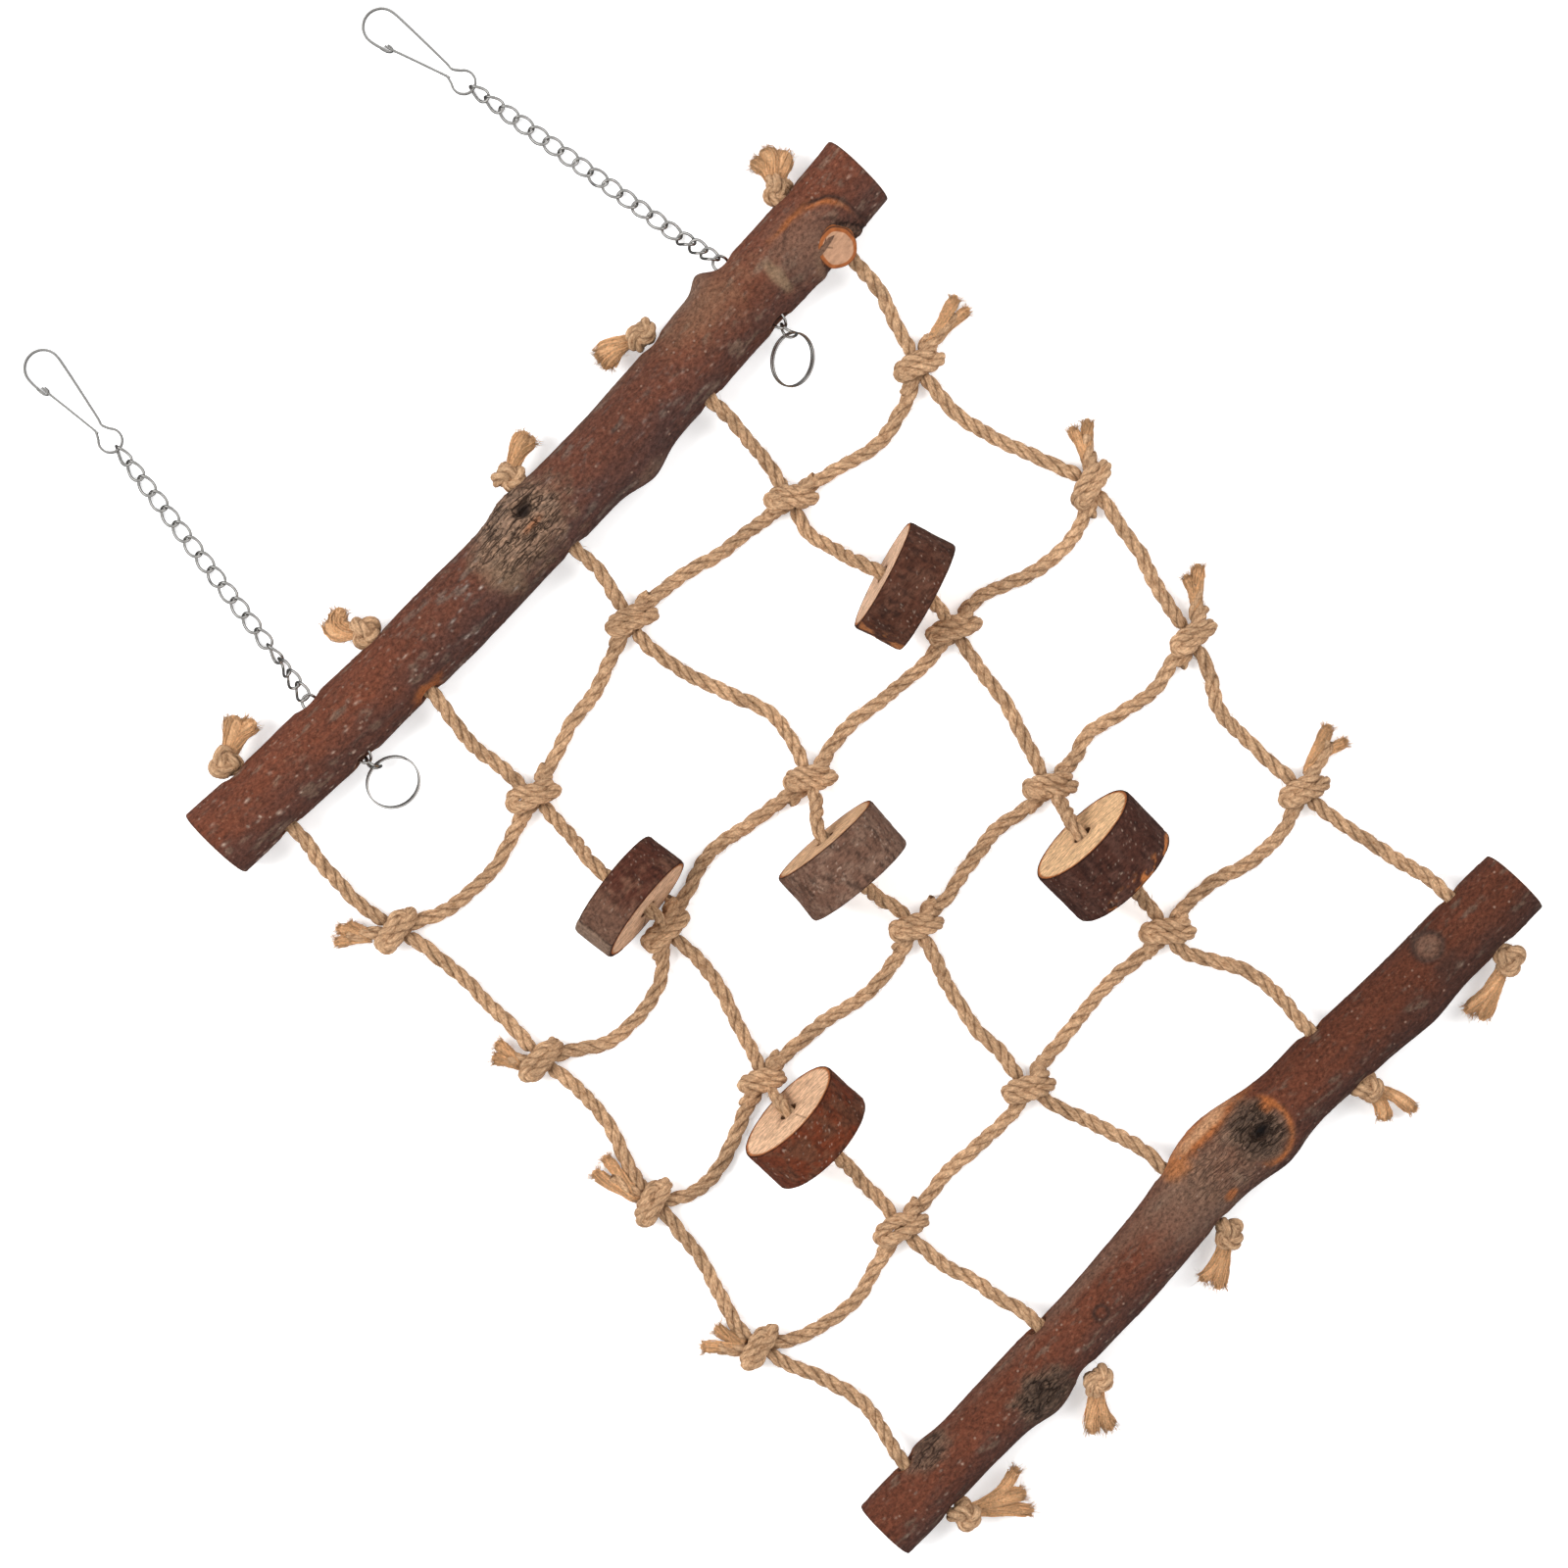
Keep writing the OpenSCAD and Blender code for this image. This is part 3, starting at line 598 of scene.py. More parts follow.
def tail_object(name, body, root, bundles):
    """A cut end of rope: soft bundles of yarn that part from root, each with a blunt end.
    A bundle is the point half way, its end, and its radius there."""
    build = Build()
    for middle, end, radius in bundles:
        p = smooth(np.array([root, middle, end], float) * MM, 0.5 * MM)
        t, n, b = frames(p)
        u = np.linspace(0, 1, len(p))
        r = (1.6 + (radius - 1.6) * rise(u, 0.0, 0.8)) * (1 + 0.12 * np.exp(-((u - 0.8) / 0.14) ** 2)) * MM
        core = r * 0.86 * np.sqrt(np.clip(1 - ((u - 0.3) / 0.72) ** 6, 0.02, 1))
        build.tube(p, core, 14, turn=-2 * u, pale=0.5)
        for _ in range(44):
            a, q = rng.uniform(0, 2 * np.pi), 0.72 + 0.3 * rng.uniform(0, 1)
            twist = a + (1.1 + rng.normal(0, 0.12)) * u * 1.2
            wave = 1 + 0.10 * np.sin(u * rng.uniform(5, 12) + rng.uniform(0, 6))
            at = p + (q * r * wave)[:, None] * (np.cos(twist)[:, None] * n + np.sin(twist)[:, None] * b)
            first = int(rng.uniform(0, 0.25) * len(p))
            last = int(rng.uniform(0.86, 1.0) * len(p))
            rows = at[first:last:3] + rng.normal(0, 0.05 * MM, at[first:last:3].shape)
            width = rng.uniform(0.18, 0.34) * MM * np.linspace(1, 0.6, len(rows))
            build.tube(rows, width, 5, pale=rng.uniform(0.25, 1.0))
        for _ in range(150):
            a, q = rng.uniform(0, 2 * np.pi), math.sqrt(rng.uniform(0, 1))
            out = math.cos(a) * n[-4] + math.sin(a) * b[-4]
            at = p[-4] + q * radius * MM * out
            way = t[-4] + 0.9 * q * out + rng.normal(0, 0.4, 3)
            rows = at + way * np.linspace(-2.0, rng.uniform(0.1, 2.0), 4)[:, None] * MM
            rows[2:] += rng.normal(0, 0.12 * MM, (2, 3))
            width = rng.uniform(0.05, 0.14) * MM * np.linspace(1, 0.4, 4)
            build.tube(rows, width, 3, pale=rng.uniform(0.2, 1.0))
        fuzz(build, p, 60, reach=3.0 * MM, radius=radius * 0.9 * MM)
    build.keep_above(0.03 * MM)
    return add(build.object(name, JUTE), body, "jute")


# The cross ropes' tails, left and right: the root, and each bundle's middle, end and radius
CROSS_TAILS = [
    (((-129, 36, 4.5), [((-134, 40, 4), (-139, 43, 3.5), 1.7), ((-131.5, 41, 5), (-135, 46, 4.5), 1.6),
                        ((-130, 40.5, 4.5), (-131.5, 44.5, 3.5), 1.4)]),
     ((128, 38, 4.2), [((137, 40, 4.5), (145.5, 42.5, 4), 1.8), ((137, 37.5, 3.6), (145.5, 36.8, 3), 1.6)])),
    (((-125.5, -27, 5), [((-128, -22, 4.5), (-130.5, -18, 4), 1.9),
                         ((-125.5, -21, 4.5), (-126, -15.5, 4), 1.8)]),
     ((136, -24.5, 4.2), [((138.5, -18.5, 4.5), (140.5, -12.5, 4), 1.7),
                          ((141, -19, 4), (146, -14.5, 3.5), 1.8)])),
    (((-130.5, -82.5, 5), [((-133, -74, 4.5), (-134.5, -66, 4), 1.9),
                           ((-129.5, -73, 4), (-128.5, -65, 3.6), 1.7)]),
     ((126, -81.5, 4.2), [((129.5, -76, 4.5), (131.8, -71, 4), 1.5),
                          ((131, -77, 4), (137, -71.5, 3.5), 1.9)])),
    (((-141, -138.5, 4.8), [((-146, -134, 4.5), (-151, -129, 4), 1.8),
                            ((-142.5, -133, 4), (-143.5, -128, 3.6), 1.8)]),
     ((113, -142, 4.2), [((121, -139.5, 4.5), (129, -136.8, 4), 1.9),
                         ((121, -142, 3.4), (129.5, -144.5, 3), 1.5)])),
]
UPPER_TAILS = [
    [((-111, 109.5, 10), (-105, 109.5, 8.5), 3.0), ((-112, 112, 11), (-108, 115, 10), 3.2)],
    [((-67, 110, 10), (-65.5, 114.5, 8.5), 3.2), ((-64.5, 111, 10), (-60.5, 114.5, 9), 2.9)],
    [((15, 107.5, 10.5), (20.5, 107.5, 9), 2.5), ((15, 109, 11), (20, 110.5, 10), 2.6)],
    [((57, 107.5, 10.5), (51.5, 106.5, 9), 2.6), ((57.5, 109.5, 11), (52, 110.5, 10), 2.8)],
    [((132, 114, 10), (130.5, 118, 8.5), 2.6), ((135.5, 114, 10.5), (135, 118, 9), 3.0),
     ((137, 110.5, 10), (140, 113, 8), 3.4)],
]
LOWER_TAILS = [
    [((-118, -229, 7.5), (-109, -227.5, 6), 1.7), ((-120, -231, 7), (-113, -235, 5), 2.3),
     ((-122, -233.5, 6), (-115.5, -241, 4), 1.8)],
    [((-81, -233, 7.5), (-85, -237.5, 6), 2.3), ((-78, -234.5, 7), (-80, -241, 5), 2.3)],
    [((-21, -228.5, 8), (-26.5, -228.5, 6.5), 1.9), ((-20, -231, 7.5), (-24.5, -234.5, 6), 2.4)],
    [((53, -231.5, 7), (50.5, -236, 5), 2.3), ((58, -233, 6.5), (59.5, -241, 4.5), 2.0)],
    [((101, -231, 7.5), (92.5, -230.5, 6), 2.2), ((101, -233, 7), (94.5, -236, 5.5), 2.7)],
]


def declare(obj, p, length, first, pieces=()):
    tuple(first)


ROW_BODY = ("upper_net", "upper_net", "middle_net", "lower_net")
for row, (route, body) in enumerate(zip(CROSS, ROW_BODY)):
    name = f"cross_rope_{row + 1}"
    obj, p, length = rope_object(name + "_laid", body, name, route, KNOTS[row], cut=(6 * MM, 6 * MM))
    pieces = [tail_object(f"{name}_tail_{side}", body, *CROSS_TAILS[row][k])
              for k, side in enumerate(("left", "right"))]
    places = [at for at, q in enumerate(route) if q == KNOT]
    for column, (knot, at) in enumerate(zip(KNOTS[row], places)):
        along = np.array(route[at + 1]) - np.array(route[at - 1])
        swing, size = rng.normal(0, 0.12), 1.0
        if column == 0:
            # The end knots lie across the long rope, and the cross rope comes out below them
            along, swing, size = np.array([1, 0.1, 0]), 0.65 + swing, 0.96
        elif (row, column) == (2, 1):
            # A wood slice stands close below this knot
            knot, size = np.array(knot) + (-0.5, 1.4, 0), 0.82
        pieces.append(knot_object(f"net_knot_{row + 1}_{column + 1}", body, knot, along, swing, size,
                                  ends=column > 0))
    declare(obj, p, length, np.array(KNOTS[row][0]) * MM, pieces)


def long_route(part, i):
    """The points of a long rope's part, with its way through the perch."""
    if part == "upper":
        x, y, z = UPPER[i][0]
        return [(x, y + 14, z)] + UPPER[i]
    if part == "lower":
        x, y, z = LOWER[i][-1]
        return LOWER[i] + [(x, y - 14, z)]
    return MIDDLE[i]


def stopper(part, i):
    """The stopper knot and the tail behind a perch."""
    places, tails, first_turn, turn = {"upper": (UPPER_STOPPERS, UPPER_TAILS, 0.4, 0.9),
                                       "lower": (LOWER_STOPPERS, LOWER_TAILS, 2.0, 1.1)}[part]
    centre = np.array(places[i])
    return [stopper_object(f"{part}_stopper_knot_{i + 1}", f"{part}_net", centre, first_turn + turn * i),
            tail_object(f"{part}_stopper_tail_{i + 1}", f"{part}_net", centre - (0, 0, 1.5), tails[i])]


for i in range(5):
    for row, part in enumerate(("upper", "middle", "lower")):
        name = f"long_rope_{i + 1}_{part}"
        obj, p, length = rope_object(name + "_laid", f"{part}_net", name, long_route(part, i),
                                     [KNOTS[row][i], KNOTS[row + 1][i]], start_trim=row > 0)
        declare(obj, p, length, p[0], [] if part == "middle" else stopper(part, i))


# ---------------------------------------------------------------- perches
# Each bump is at x, at an angle from +Y round to the top, with its half width, half angle and height
UPPER_BUMPS = [(92, 15, 4, 30, 3.2), (86, 10, 16, 50, 1.6), (0, 25, 8, 55, 2), (38, 190, 9, 45, 3.4),
               (126, 130, 13, 60, 1.2)]
LOWER_BUMPS = [(6, 20, 20, 50, 5), (20, 180, 10, 50, 2.4), (-86, 180, 8, 45, 2.4), (-125, 10, 6, 40, 1.2),
               (84, 180, 12, 50, 1.8), (48, 0, 10, 50, 1.2)]


def upper_y(x):
    return 86.6 + 4.6 * (x / 145) ** 2


def lower_y(x):
    return -210.6 + 2.6 * np.exp(-((x - 5) / 45) ** 2) - np.where(x > 0, 1.6 * x / 130, 0)


def upper_z(x):
    return np.full_like(x, UPPER_Z)


def upper_r(x):
    return np.full_like(x, 12.8)


def lower_r(x):
    """The lower perch's radius, which is also its height, as it lies on the floor."""
    return 11.1 + 0.6 * x / 140


class Branch:
    """A bark-covered perch as a grid of rings along X, in millimetres, with a colour for every point."""

    # Rings of a sawn end, slightly domed, with the edge of the bark round it: each ring's size, how
    # far out it stands, and its colour
    SAWN_END = ((0.985, 0.35, BARK_DARK), (0.93, 0.6, INNER_ORANGE), (0.86, 0.55, CUT_PALE),
                (0.7, 0.65, CUT_PALE), (0.45, 0.75, CUT_PALE), (0.2, 0.8, CUT_PALE))

    ROWS, SIDES = 720, 230

    def __init__(self, x_range, y_of, z_of, r_of, bumps, seed):
        self.noise = Noise(seed)
        self.rng = np.random.default_rng(seed)
        around = np.linspace(0, 2 * np.pi, self.SIDES, endpoint=False)
        self.x, self.a = np.meshgrid(np.linspace(*x_range, self.ROWS), around, indexing="ij")
        deg = np.degrees(self.a)
        self.r = r_of(self.x) + 0.25 * np.sin(np.radians(3 * deg + 2 * self.x))
        self.r += 0.2 * np.sin(np.radians(7 * self.x + 2 * deg))
        for x, angle, half_width, half_angle, height in bumps:
            turn = np.abs((deg - angle + 540) % 360 - 180)
            self.r += height * np.exp(-((self.x - x) / half_width) ** 2 - (turn / half_angle) ** 2)
        self.y_mid, self.z_mid = y_of(self.x), z_of(self.x)
        c, s = np.cos(self.a), np.sin(self.a)
        self.round = np.stack([self.x, 12 * c, 12 * s], axis=-1)
        self.y = self.y_mid + self.r * c
        self.top = rise(s, 0.0, 0.25)
        self.relief = np.zeros_like(self.r)
        self.rough = np.zeros_like(self.r)
        self.colour = np.zeros(self.r.shape + (3,))
        self.x_range = x_range

    def field(self, along, around, layers=4, shift=0.0):
        return self.noise.layers(self.round / (along, around, around) + shift, layers)

    def bark(self, dashes, low_edge):
        """Smooth red-brown bark with painted shade, darker and more purple, towards its front, and pale
        dashes along it.
        """
        lumps = self.field(18, 7)
        mottle = self.field(6, 2.6, 5, 11)
        streak = self.field(8, 1.0, 4, 23)
        specks = self.field(0.9, 0.55, 2, 37)
        # Painted shade: towards the front (−Y) side the bark is mixed to a darker purple, with fewer pale
        # specks
        front = rise(-np.cos(self.a), -0.3, 0.8)
        self.colour = mix(BARK_RED, BARK_SHADE_PURPLE, 0.75 * front + 1.2 * (mottle - 0.5))
        self.colour = mix(self.colour, BARK_GREY, rise(mottle, 0.60, 0.74) * 0.7)
        self.colour = mix(self.colour, BARK_DARK, 0.3 * rise(streak, 0.58, 0.74))
        self.colour = mix(self.colour, (0.20, 0.085, 0.048), 0.5 * rise(specks, 0.66, 0.8) * (1 - front))
        self.colour *= (0.82 + 0.36 * lumps)[..., None]
        self.relief += 0.5 * (lumps - 0.5) + 0.26 * (streak - 0.5) + 0.2 * (mottle - 0.5)
        for _ in range(dashes):
            x0 = self.rng.uniform(*self.x_range)
            a0 = self.rng.uniform(0, 2 * np.pi)
            wide, tall = self.rng.uniform(0.3, 1.0), self.rng.uniform(0.22, 0.5)
            strong = self.rng.uniform(0.3, 0.95) * (0.4 if x0 > low_edge else 1)
            strong *= 1 if math.cos(a0) < 0.2 else 0.5
            rows = np.abs(self.x[:, 0] - x0) < 4
            turn = np.abs((self.a[rows] - a0 + np.pi) % (2 * np.pi) - np.pi) * self.r[rows]
            m = np.exp(-((self.x[rows] - x0) / wide) ** 2 - (turn / tall) ** 2) * (0.4 + 1.1 * specks[rows])
            self.colour[rows] = mix(self.colour[rows], BARK_PALE, strong * m)
            self.relief[rows] += 0.12 * m

    def spot(self, x, y, half_x, half_y, ragged=0.6, sharp=2.0, shift=0.0):
        """A patch seen from above, with an uneven edge."""
        edge = 1 + ragged * 2 * (self.field(3.2, 3.2, 4, 31 + shift) - 0.5)
        d = ((self.x - x) / half_x) ** 2 + ((self.y - y) / half_y) ** 2
        return np.exp(-(d * edge) ** sharp) * self.top

    def paint(self, mask, colour, depth=0.0):
        self.colour = mix(self.colour, colour, mask)
        self.relief += depth * mask

    def crack(self, mask, x, y, shift=0.0):
        """Coarse old bark: long ridges and dark cracks that bend round the point (x, y)."""
        far = np.hypot(self.x - x, (self.y - y) * 1.3)
        bend = 2.2 * np.exp(-(far / 7) ** 2) * np.sign(self.y - y)
        q = np.stack([self.x / 4.5, (self.y + bend) / 1.3, np.sin(self.a) * 1.5], -1) + 5 * shift
        n = self.noise.layers(q, 3, 0.5)
        ridges = self.noise.layers(q * (1.9, 2.1, 1) + 13, 3, 0.6)
        rim = 0.5 + 0.5 * np.cos(far * 2.1 + 3 * self.field(4, 4, 2, shift))
        wide = rise(1 - np.abs(2 * n - 1) * 6.5, 0.0, 0.9)
        thin = rise(1 - np.abs(2 * ridges - 1) * 7.5, 0.1, 0.9)
        line = 0.3 * np.maximum(wide, 0.5 * thin)
        line = np.maximum(line, 0.8 * rise(rim, 0.75, 0.95) * np.exp(-(far / 5) ** 2))
        colour = mix(CRACK_GREY, (0.27, 0.165, 0.108), rise(ridges, 0.36, 0.62))
        colour = mix(colour, np.broadcast_to(BARK_DARK, colour.shape), line)
        self.colour = mix(self.colour, colour, mask)
        self.rough = np.maximum(self.rough, mask)
        self.relief += mask * (0.9 * (ridges - 0.5) - 0.5 * line)

    def bore(self, x, z, radius):
        """Where a rope or chain goes through, front to back: a shallow dip with an orange rim, painted near
        black inside as painted shade of a hole.
        """
        zed = self.z_mid + self.r * np.sin(self.a)
        d = np.hypot(self.x - x, zed - z)
        m = np.exp(-(d / radius) ** 4)
        rim = np.exp(-((d - radius - 0.6) / 0.7) ** 2)
        self.colour = mix(self.colour, INNER_ORANGE, 0.35 * rim)
        # Painted shade: the dip is painted near black in place of the shade inside a hole
        self.colour = mix(self.colour, BLACK_WOOD_AND_HOLE_SHADE, m)
        self.relief -= 3.2 * m

    def object(self, name):
        q = self.r + self.relief
        c, s = np.cos(self.a), np.sin(self.a)
        rings = np.stack([self.x, self.y_mid + q * c, np.maximum(0, self.z_mid + q * s)], axis=-1)
        first, last, colours = [], [], []
        for f, out, shade in self.SAWN_END:
            for store, ring, sign in ((first, rings[0], -1), (last, rings[-1], 1)):
                mid = ring.mean(0)
                store.append(mid + (ring - mid) * f + (sign * out, 0, 0))
            tone = 0.85 + 0.3 * self.noise.at(np.outer(self.a[0], (3, 0, 0)) + (0, f * 9, 0))
            colours.append(np.array(shade) * tone[:, None])
        rings = np.concatenate([first[::-1], rings, last])
        colour = np.concatenate([colours[::-1], self.colour, colours])
        rough = np.pad(self.rough, ((len(first), len(last)), (0, 0)))
        build = Build()
        build.grid(rings * MM, tint=colour)
        obj = build.object(name, BARK)
        layer = obj.data.attributes.new("rough", "FLOAT", "POINT")
        layer.data.foreach_set("value", np.r_[rough.ravel(), 0, 0].astype(np.float32))
        return obj


def upper_perch():
    b = Branch((-140.7, 151.3), upper_y, upper_z, upper_r, UPPER_BUMPS, 21)
    b.bark(760, -15)
    middle = rise(b.x, -75, -25) * rise(-b.x, -85, -50)
    b.colour *= 1 - middle[..., None] * (0.18, 0.07, -0.04)
    b.paint(0.5 * b.spot(86, 96, 16, 8, 1.2, 1.2), (0.19, 0.105, 0.062))
    b.paint(0.45 * b.spot(50, 101, 26, 3, 0.9, 1.2, 3), BARK_GREY)
    b.paint(0.75 * b.spot(83, 102.5, 11, 2.6, 0.7, 1.4, 2), BARK_GREY, 0.2)
    b.paint(0.55 * b.spot(-16, 84, 6, 8, 0.8, 1.4, 4), (0.21, 0.145, 0.09))
    b.crack(b.spot(-3, 91, 17.5, 13.5, 0.9, 2.5), 2, 93)
    b.paint(b.spot(1.5, 93.5, 3.4, 2.6, 0.3), BLACK_WOOD_AND_HOLE_SHADE, -2.0)
    b.paint(0.5 * b.spot(0, 87.5, 4, 1.2, 0.6, 1.5, 6), INNER_ORANGE)
    b.paint(0.85 * b.spot(-60, 75.5, 5.5, 2.2, 1.0), INNER_ORANGE, -0.3)
    b.paint(0.6 * b.spot(38, 71.5, 9, 3, 0.6), BARK_GREY, 0.2)
    b.paint(0.7 * b.spot(92, 105.5, 4, 2, 0.4), BARK_GREY, 0.2)
    # Scars and the swollen collar round the cut side branch
    b.paint(0.55 * b.spot(120, 88, 13, 9, 0.6, 1.5, 8), BARK_GREY, 0.3)
    b.paint(0.7 * b.spot(109, 86, 2.2, 6.5, 0.7, 2, 9), (0.21, 0.14, 0.085), -0.2)
    warp = 0.22 * (b.field(7, 7, 3, 71) - 0.5)
    out = np.hypot((b.x - 127) / 13.5, (b.y - 80) / 14.5) + warp
    b.relief += 0.7 * b.top * rise(-out, -1.15, -0.95) * rise(np.hypot(b.x - 128.5, b.y - 70), 6, 12)
    aim = np.arctan2(b.y - 80, b.x - 127)
    cleft = np.exp(-((out - 1.08) / 0.05) ** 2) * b.top
    b.paint(cleft * (0.35 + 0.65 * np.exp(-((aim - 0.9) / 0.75) ** 2)), BARK_DARK, -0.7)
    torn = 0.8 * np.exp(-((out - 0.97) / 0.06) ** 2) * b.top * np.exp(-((aim - 0.95) / 0.5) ** 2)
    b.paint(torn, INNER_ORANGE)
    inner = np.exp(-((out - 0.62) / 0.045) ** 2) * b.top * np.exp(-((aim - 0.5) / 0.9) ** 2)
    b.paint(0.7 * inner, BARK_DARK, -0.4)
    b.paint(0.7 * b.spot(124, 95, 7, 1.0, 0.8, 1.5, 12), INNER_ORANGE, -0.1)
    foot = np.hypot((b.x - 128.5) / 7.6, (b.y - 72) / 8.0) + 0.3 * (b.field(3, 3, 3, 75) - 0.5)
    turn = np.arctan2(b.y - 72, b.x - 128.5)
    right = 0.45 + 0.55 * np.exp(-((turn - 0.6) / 1.0) ** 2)
    b.paint(0.75 * np.exp(-((foot - 1.35) / 0.22) ** 2) * b.top, (0.15, 0.085, 0.055), 0.5)
    b.paint(right * np.exp(-((foot - 1.05) / 0.12) ** 2) * b.top, BARK_DARK, -0.5)
    b.paint(right * np.exp(-((foot - 1.62) / 0.07) ** 2) * b.top * rise(b.x, 126, 131), BARK_DARK, -0.5)
    b.rough = np.maximum(b.rough, 0.8 * np.exp(-((foot - 1.5) / 0.35) ** 2) * b.top * rise(b.x, 128, 134))
    for route in UPPER:
        b.bore(route[0][0], UPPER_Z, 3.4)
    for x in CHAIN_HOLES:
        b.bore(x, UPPER_Z, 3.8)
    add(b.object("upper_perch_branch"), "upper_net", "bark", "upper_perch")


STUB_FACE = (0.40, 0.225, 0.138)
STUB_RING = (0.27, 0.085, 0.028)


def stub():
    """The cut stub of a side branch on the upper perch: bark round a sawn face."""
    root = np.array([128.5, upper_y(128.5), UPPER_Z])
    out = np.array([0, -math.sin(math.radians(48)), math.cos(math.radians(48))])
    side = np.array([1.0, 0, 0])
    up = np.cross(out, side)
    n = Noise(5)
    a = np.linspace(0, 2 * np.pi, 96, endpoint=False)
    slope = 0.35
    rows = [(0.55, 8.6, BARK_RED), (0.66, 7.7, BARK_GREY), (0.76, 7.1, BARK_DARK), (0.85, 6.8, BARK_RED),
            (0.93, 6.7, INNER_ORANGE), (0.985, 6.5, BARK_DARK), (1.0, 6.25, STUB_RING), (1.0, 5.9, STUB_RING),
            (1.0, 5.3, STUB_RING)] + [(1.0, r, STUB_FACE) for r in np.linspace(5.05, 0.3, 14)]
    rings, colours = [], []
    for k, (part, r, colour) in enumerate(rows):
        wave = n.at(np.stack([np.cos(a) * 2, np.sin(a) * 2, np.full(96, part * 6)], -1)) - 0.5
        q = r * (1 + (0.16 if r > 5.1 else 0.20) * wave)
        saw = n.layers(np.stack([q * np.cos(a) / 6, q * np.sin(a) / 0.9, np.full(96, 3.0)], -1), 3) - 0.5
        height = (15.9 - slope * q * np.sin(a)) * part + (0.3 * saw if part == 1.0 else 0)
        rings.append(root + height[:, None] * out + q[:, None] * (np.cos(a)[:, None] * side
                                                                   + np.sin(a)[:, None] * up))
        tone = 0.8 + 0.4 * n.at(np.stack([np.cos(a) * 4, np.sin(a) * 4, np.full(96, k * 1.7)], -1))
        if colour is STUB_FACE:
            crack = np.exp(-((a - 2.3) * q / 0.3) ** 2) * (1.5 < r < 4.0)
            tone = (1 + 0.4 * saw) * (1 - 0.6 * crack)
        colours.append(np.array(colour) * tone[:, None])
    build = Build()
    build.grid(np.array(rings) * MM, tint=np.array(colours))
    add(build.object("upper_perch_stub", SAWN), "upper_net", "cut_wood")


def lower_perch():
    b = Branch((-151.5, 132.5), lower_y, lower_r, lower_r, LOWER_BUMPS, 33)
    b.bark(380, -60)
    b.colour *= (0.86 - 0.17 * rise(b.x, -20, 90))[..., None]
    b.paint(0.5 * b.spot(-50, -200.5, 50, 2.4, 0.9, 1.4, 2), BARK_GREY)
    b.paint(0.6 * b.spot(-12, -206, 16, 14, 0.9, 1.6, 3), BARK_GREY, 0.2)
    b.crack(0.85 * b.spot(-124, -202, 8, 4.5, 0.9), -124, -202, 1)
    b.paint(0.6 * b.spot(-124, -202, 8, 4.5, 0.9), BARK_DARK)
    patch = b.spot(-86.5, -215.5, 9, 8, 0.9, 2.5)
    b.crack(patch, -86, -212, 2)
    b.paint(0.72 * patch, BLACK_WOOD_AND_HOLE_SHADE, 0.2)
    eye = np.abs(np.hypot((b.x + 55) / 2.4, (b.y + 211) / 2.4) - 1)
    b.paint(0.9 * np.exp(-(eye / 0.28) ** 2) * b.top, BARK_DARK, -0.5)
    b.crack(0.4 * b.spot(5, -206, 15, 13, 0.9, 2.2, 6), 20, -207, 3)
    b.paint(b.spot(12, -194, 21, 3.9, 0.7, 2.2), INNER_ORANGE, -0.1)
    b.paint(0.85 * b.spot(9, -194.2, 12, 1.7, 0.9, 1.8, 5), (0.45, 0.25, 0.135), 0.1)
    b.paint(0.8 * b.spot(-6, -197, 4.5, 3.2, 1.0, 1.8, 7), (0.33, 0.125, 0.045), 0.2)
    rim = np.abs(np.hypot((b.x - 20) / 9.8, (b.y + 207) / 11.2) - 1)
    side = rise((b.x - 20) / 9.8 - (b.y + 207) / 11.2, -0.1, 0.6)
    b.paint(0.9 * np.exp(-(rim / 0.10) ** 2) * b.top * side, INNER_ORANGE, 0.1)
    knot = b.spot(19.5, -206.5, 8.8, 10, 0.5, 3)
    b.crack(knot, 20, -207, 4)
    b.paint(0.68 * knot, BLACK_WOOD_AND_HOLE_SHADE)
    b.paint(b.spot(20.5, -207.5, 3.2, 2.2, 0.5), (0.006, 0.005, 0.005), -1.4)
    for x, y, wide, tall in ((0, -215, 2.6, 1.4), (28, -203.5, 2.2, 2.2)):
        b.paint(0.8 * b.spot(x, y, wide, tall, 0.8), INNER_ORANGE, -0.1)
    ring = np.abs(np.hypot((b.x - 98.5) / 4.6, (b.y + 205.5) / 4.2) - 1)
    b.paint(0.9 * np.exp(-(ring / 0.26) ** 2) * b.top, BARK_DARK, -0.5)
    b.paint(0.6 * b.spot(98.5, -205.5, 4, 4, 0.7), BARK_GREY, 0.2)
    b.paint(0.6 * b.spot(99, -213.5, 5, 3, 0.9), BARK_DARK, -0.2)
    for route in LOWER:
        b.bore(route[-1][0], LOWER_Z, 3.4)
    add(b.object("lower_perch_branch"), "lower_net", "bark", "lower_perch")


upper_perch()
stub()
lower_perch()


# ---------------------------------------------------------------- wood slices
SLICE_FACE = [(0.60, 0.37, 0.235), (0.66, 0.43, 0.29), (0.60, 0.37, 0.21), (0.66, 0.42, 0.265),
              (0.67, 0.43, 0.235)]
SLICE_BARK = [
    ((0.066, 0.022, 0.014), (0.105, 0.047, 0.030), (0.030, 0.012, 0.009)),
    ((0.062, 0.023, 0.014), (0.078, 0.033, 0.021), (0.026, 0.012, 0.009)),
    ((0.119, 0.062, 0.042), (0.155, 0.090, 0.063), (0.040, 0.022, 0.016)),
    ((0.108, 0.026, 0.011), (0.099, 0.036, 0.019), (0.040, 0.013, 0.007)),
    ((0.051, 0.019, 0.013), (0.066, 0.029, 0.021), (0.021, 0.009, 0.007)),
]
SLICE_SIDES = 260


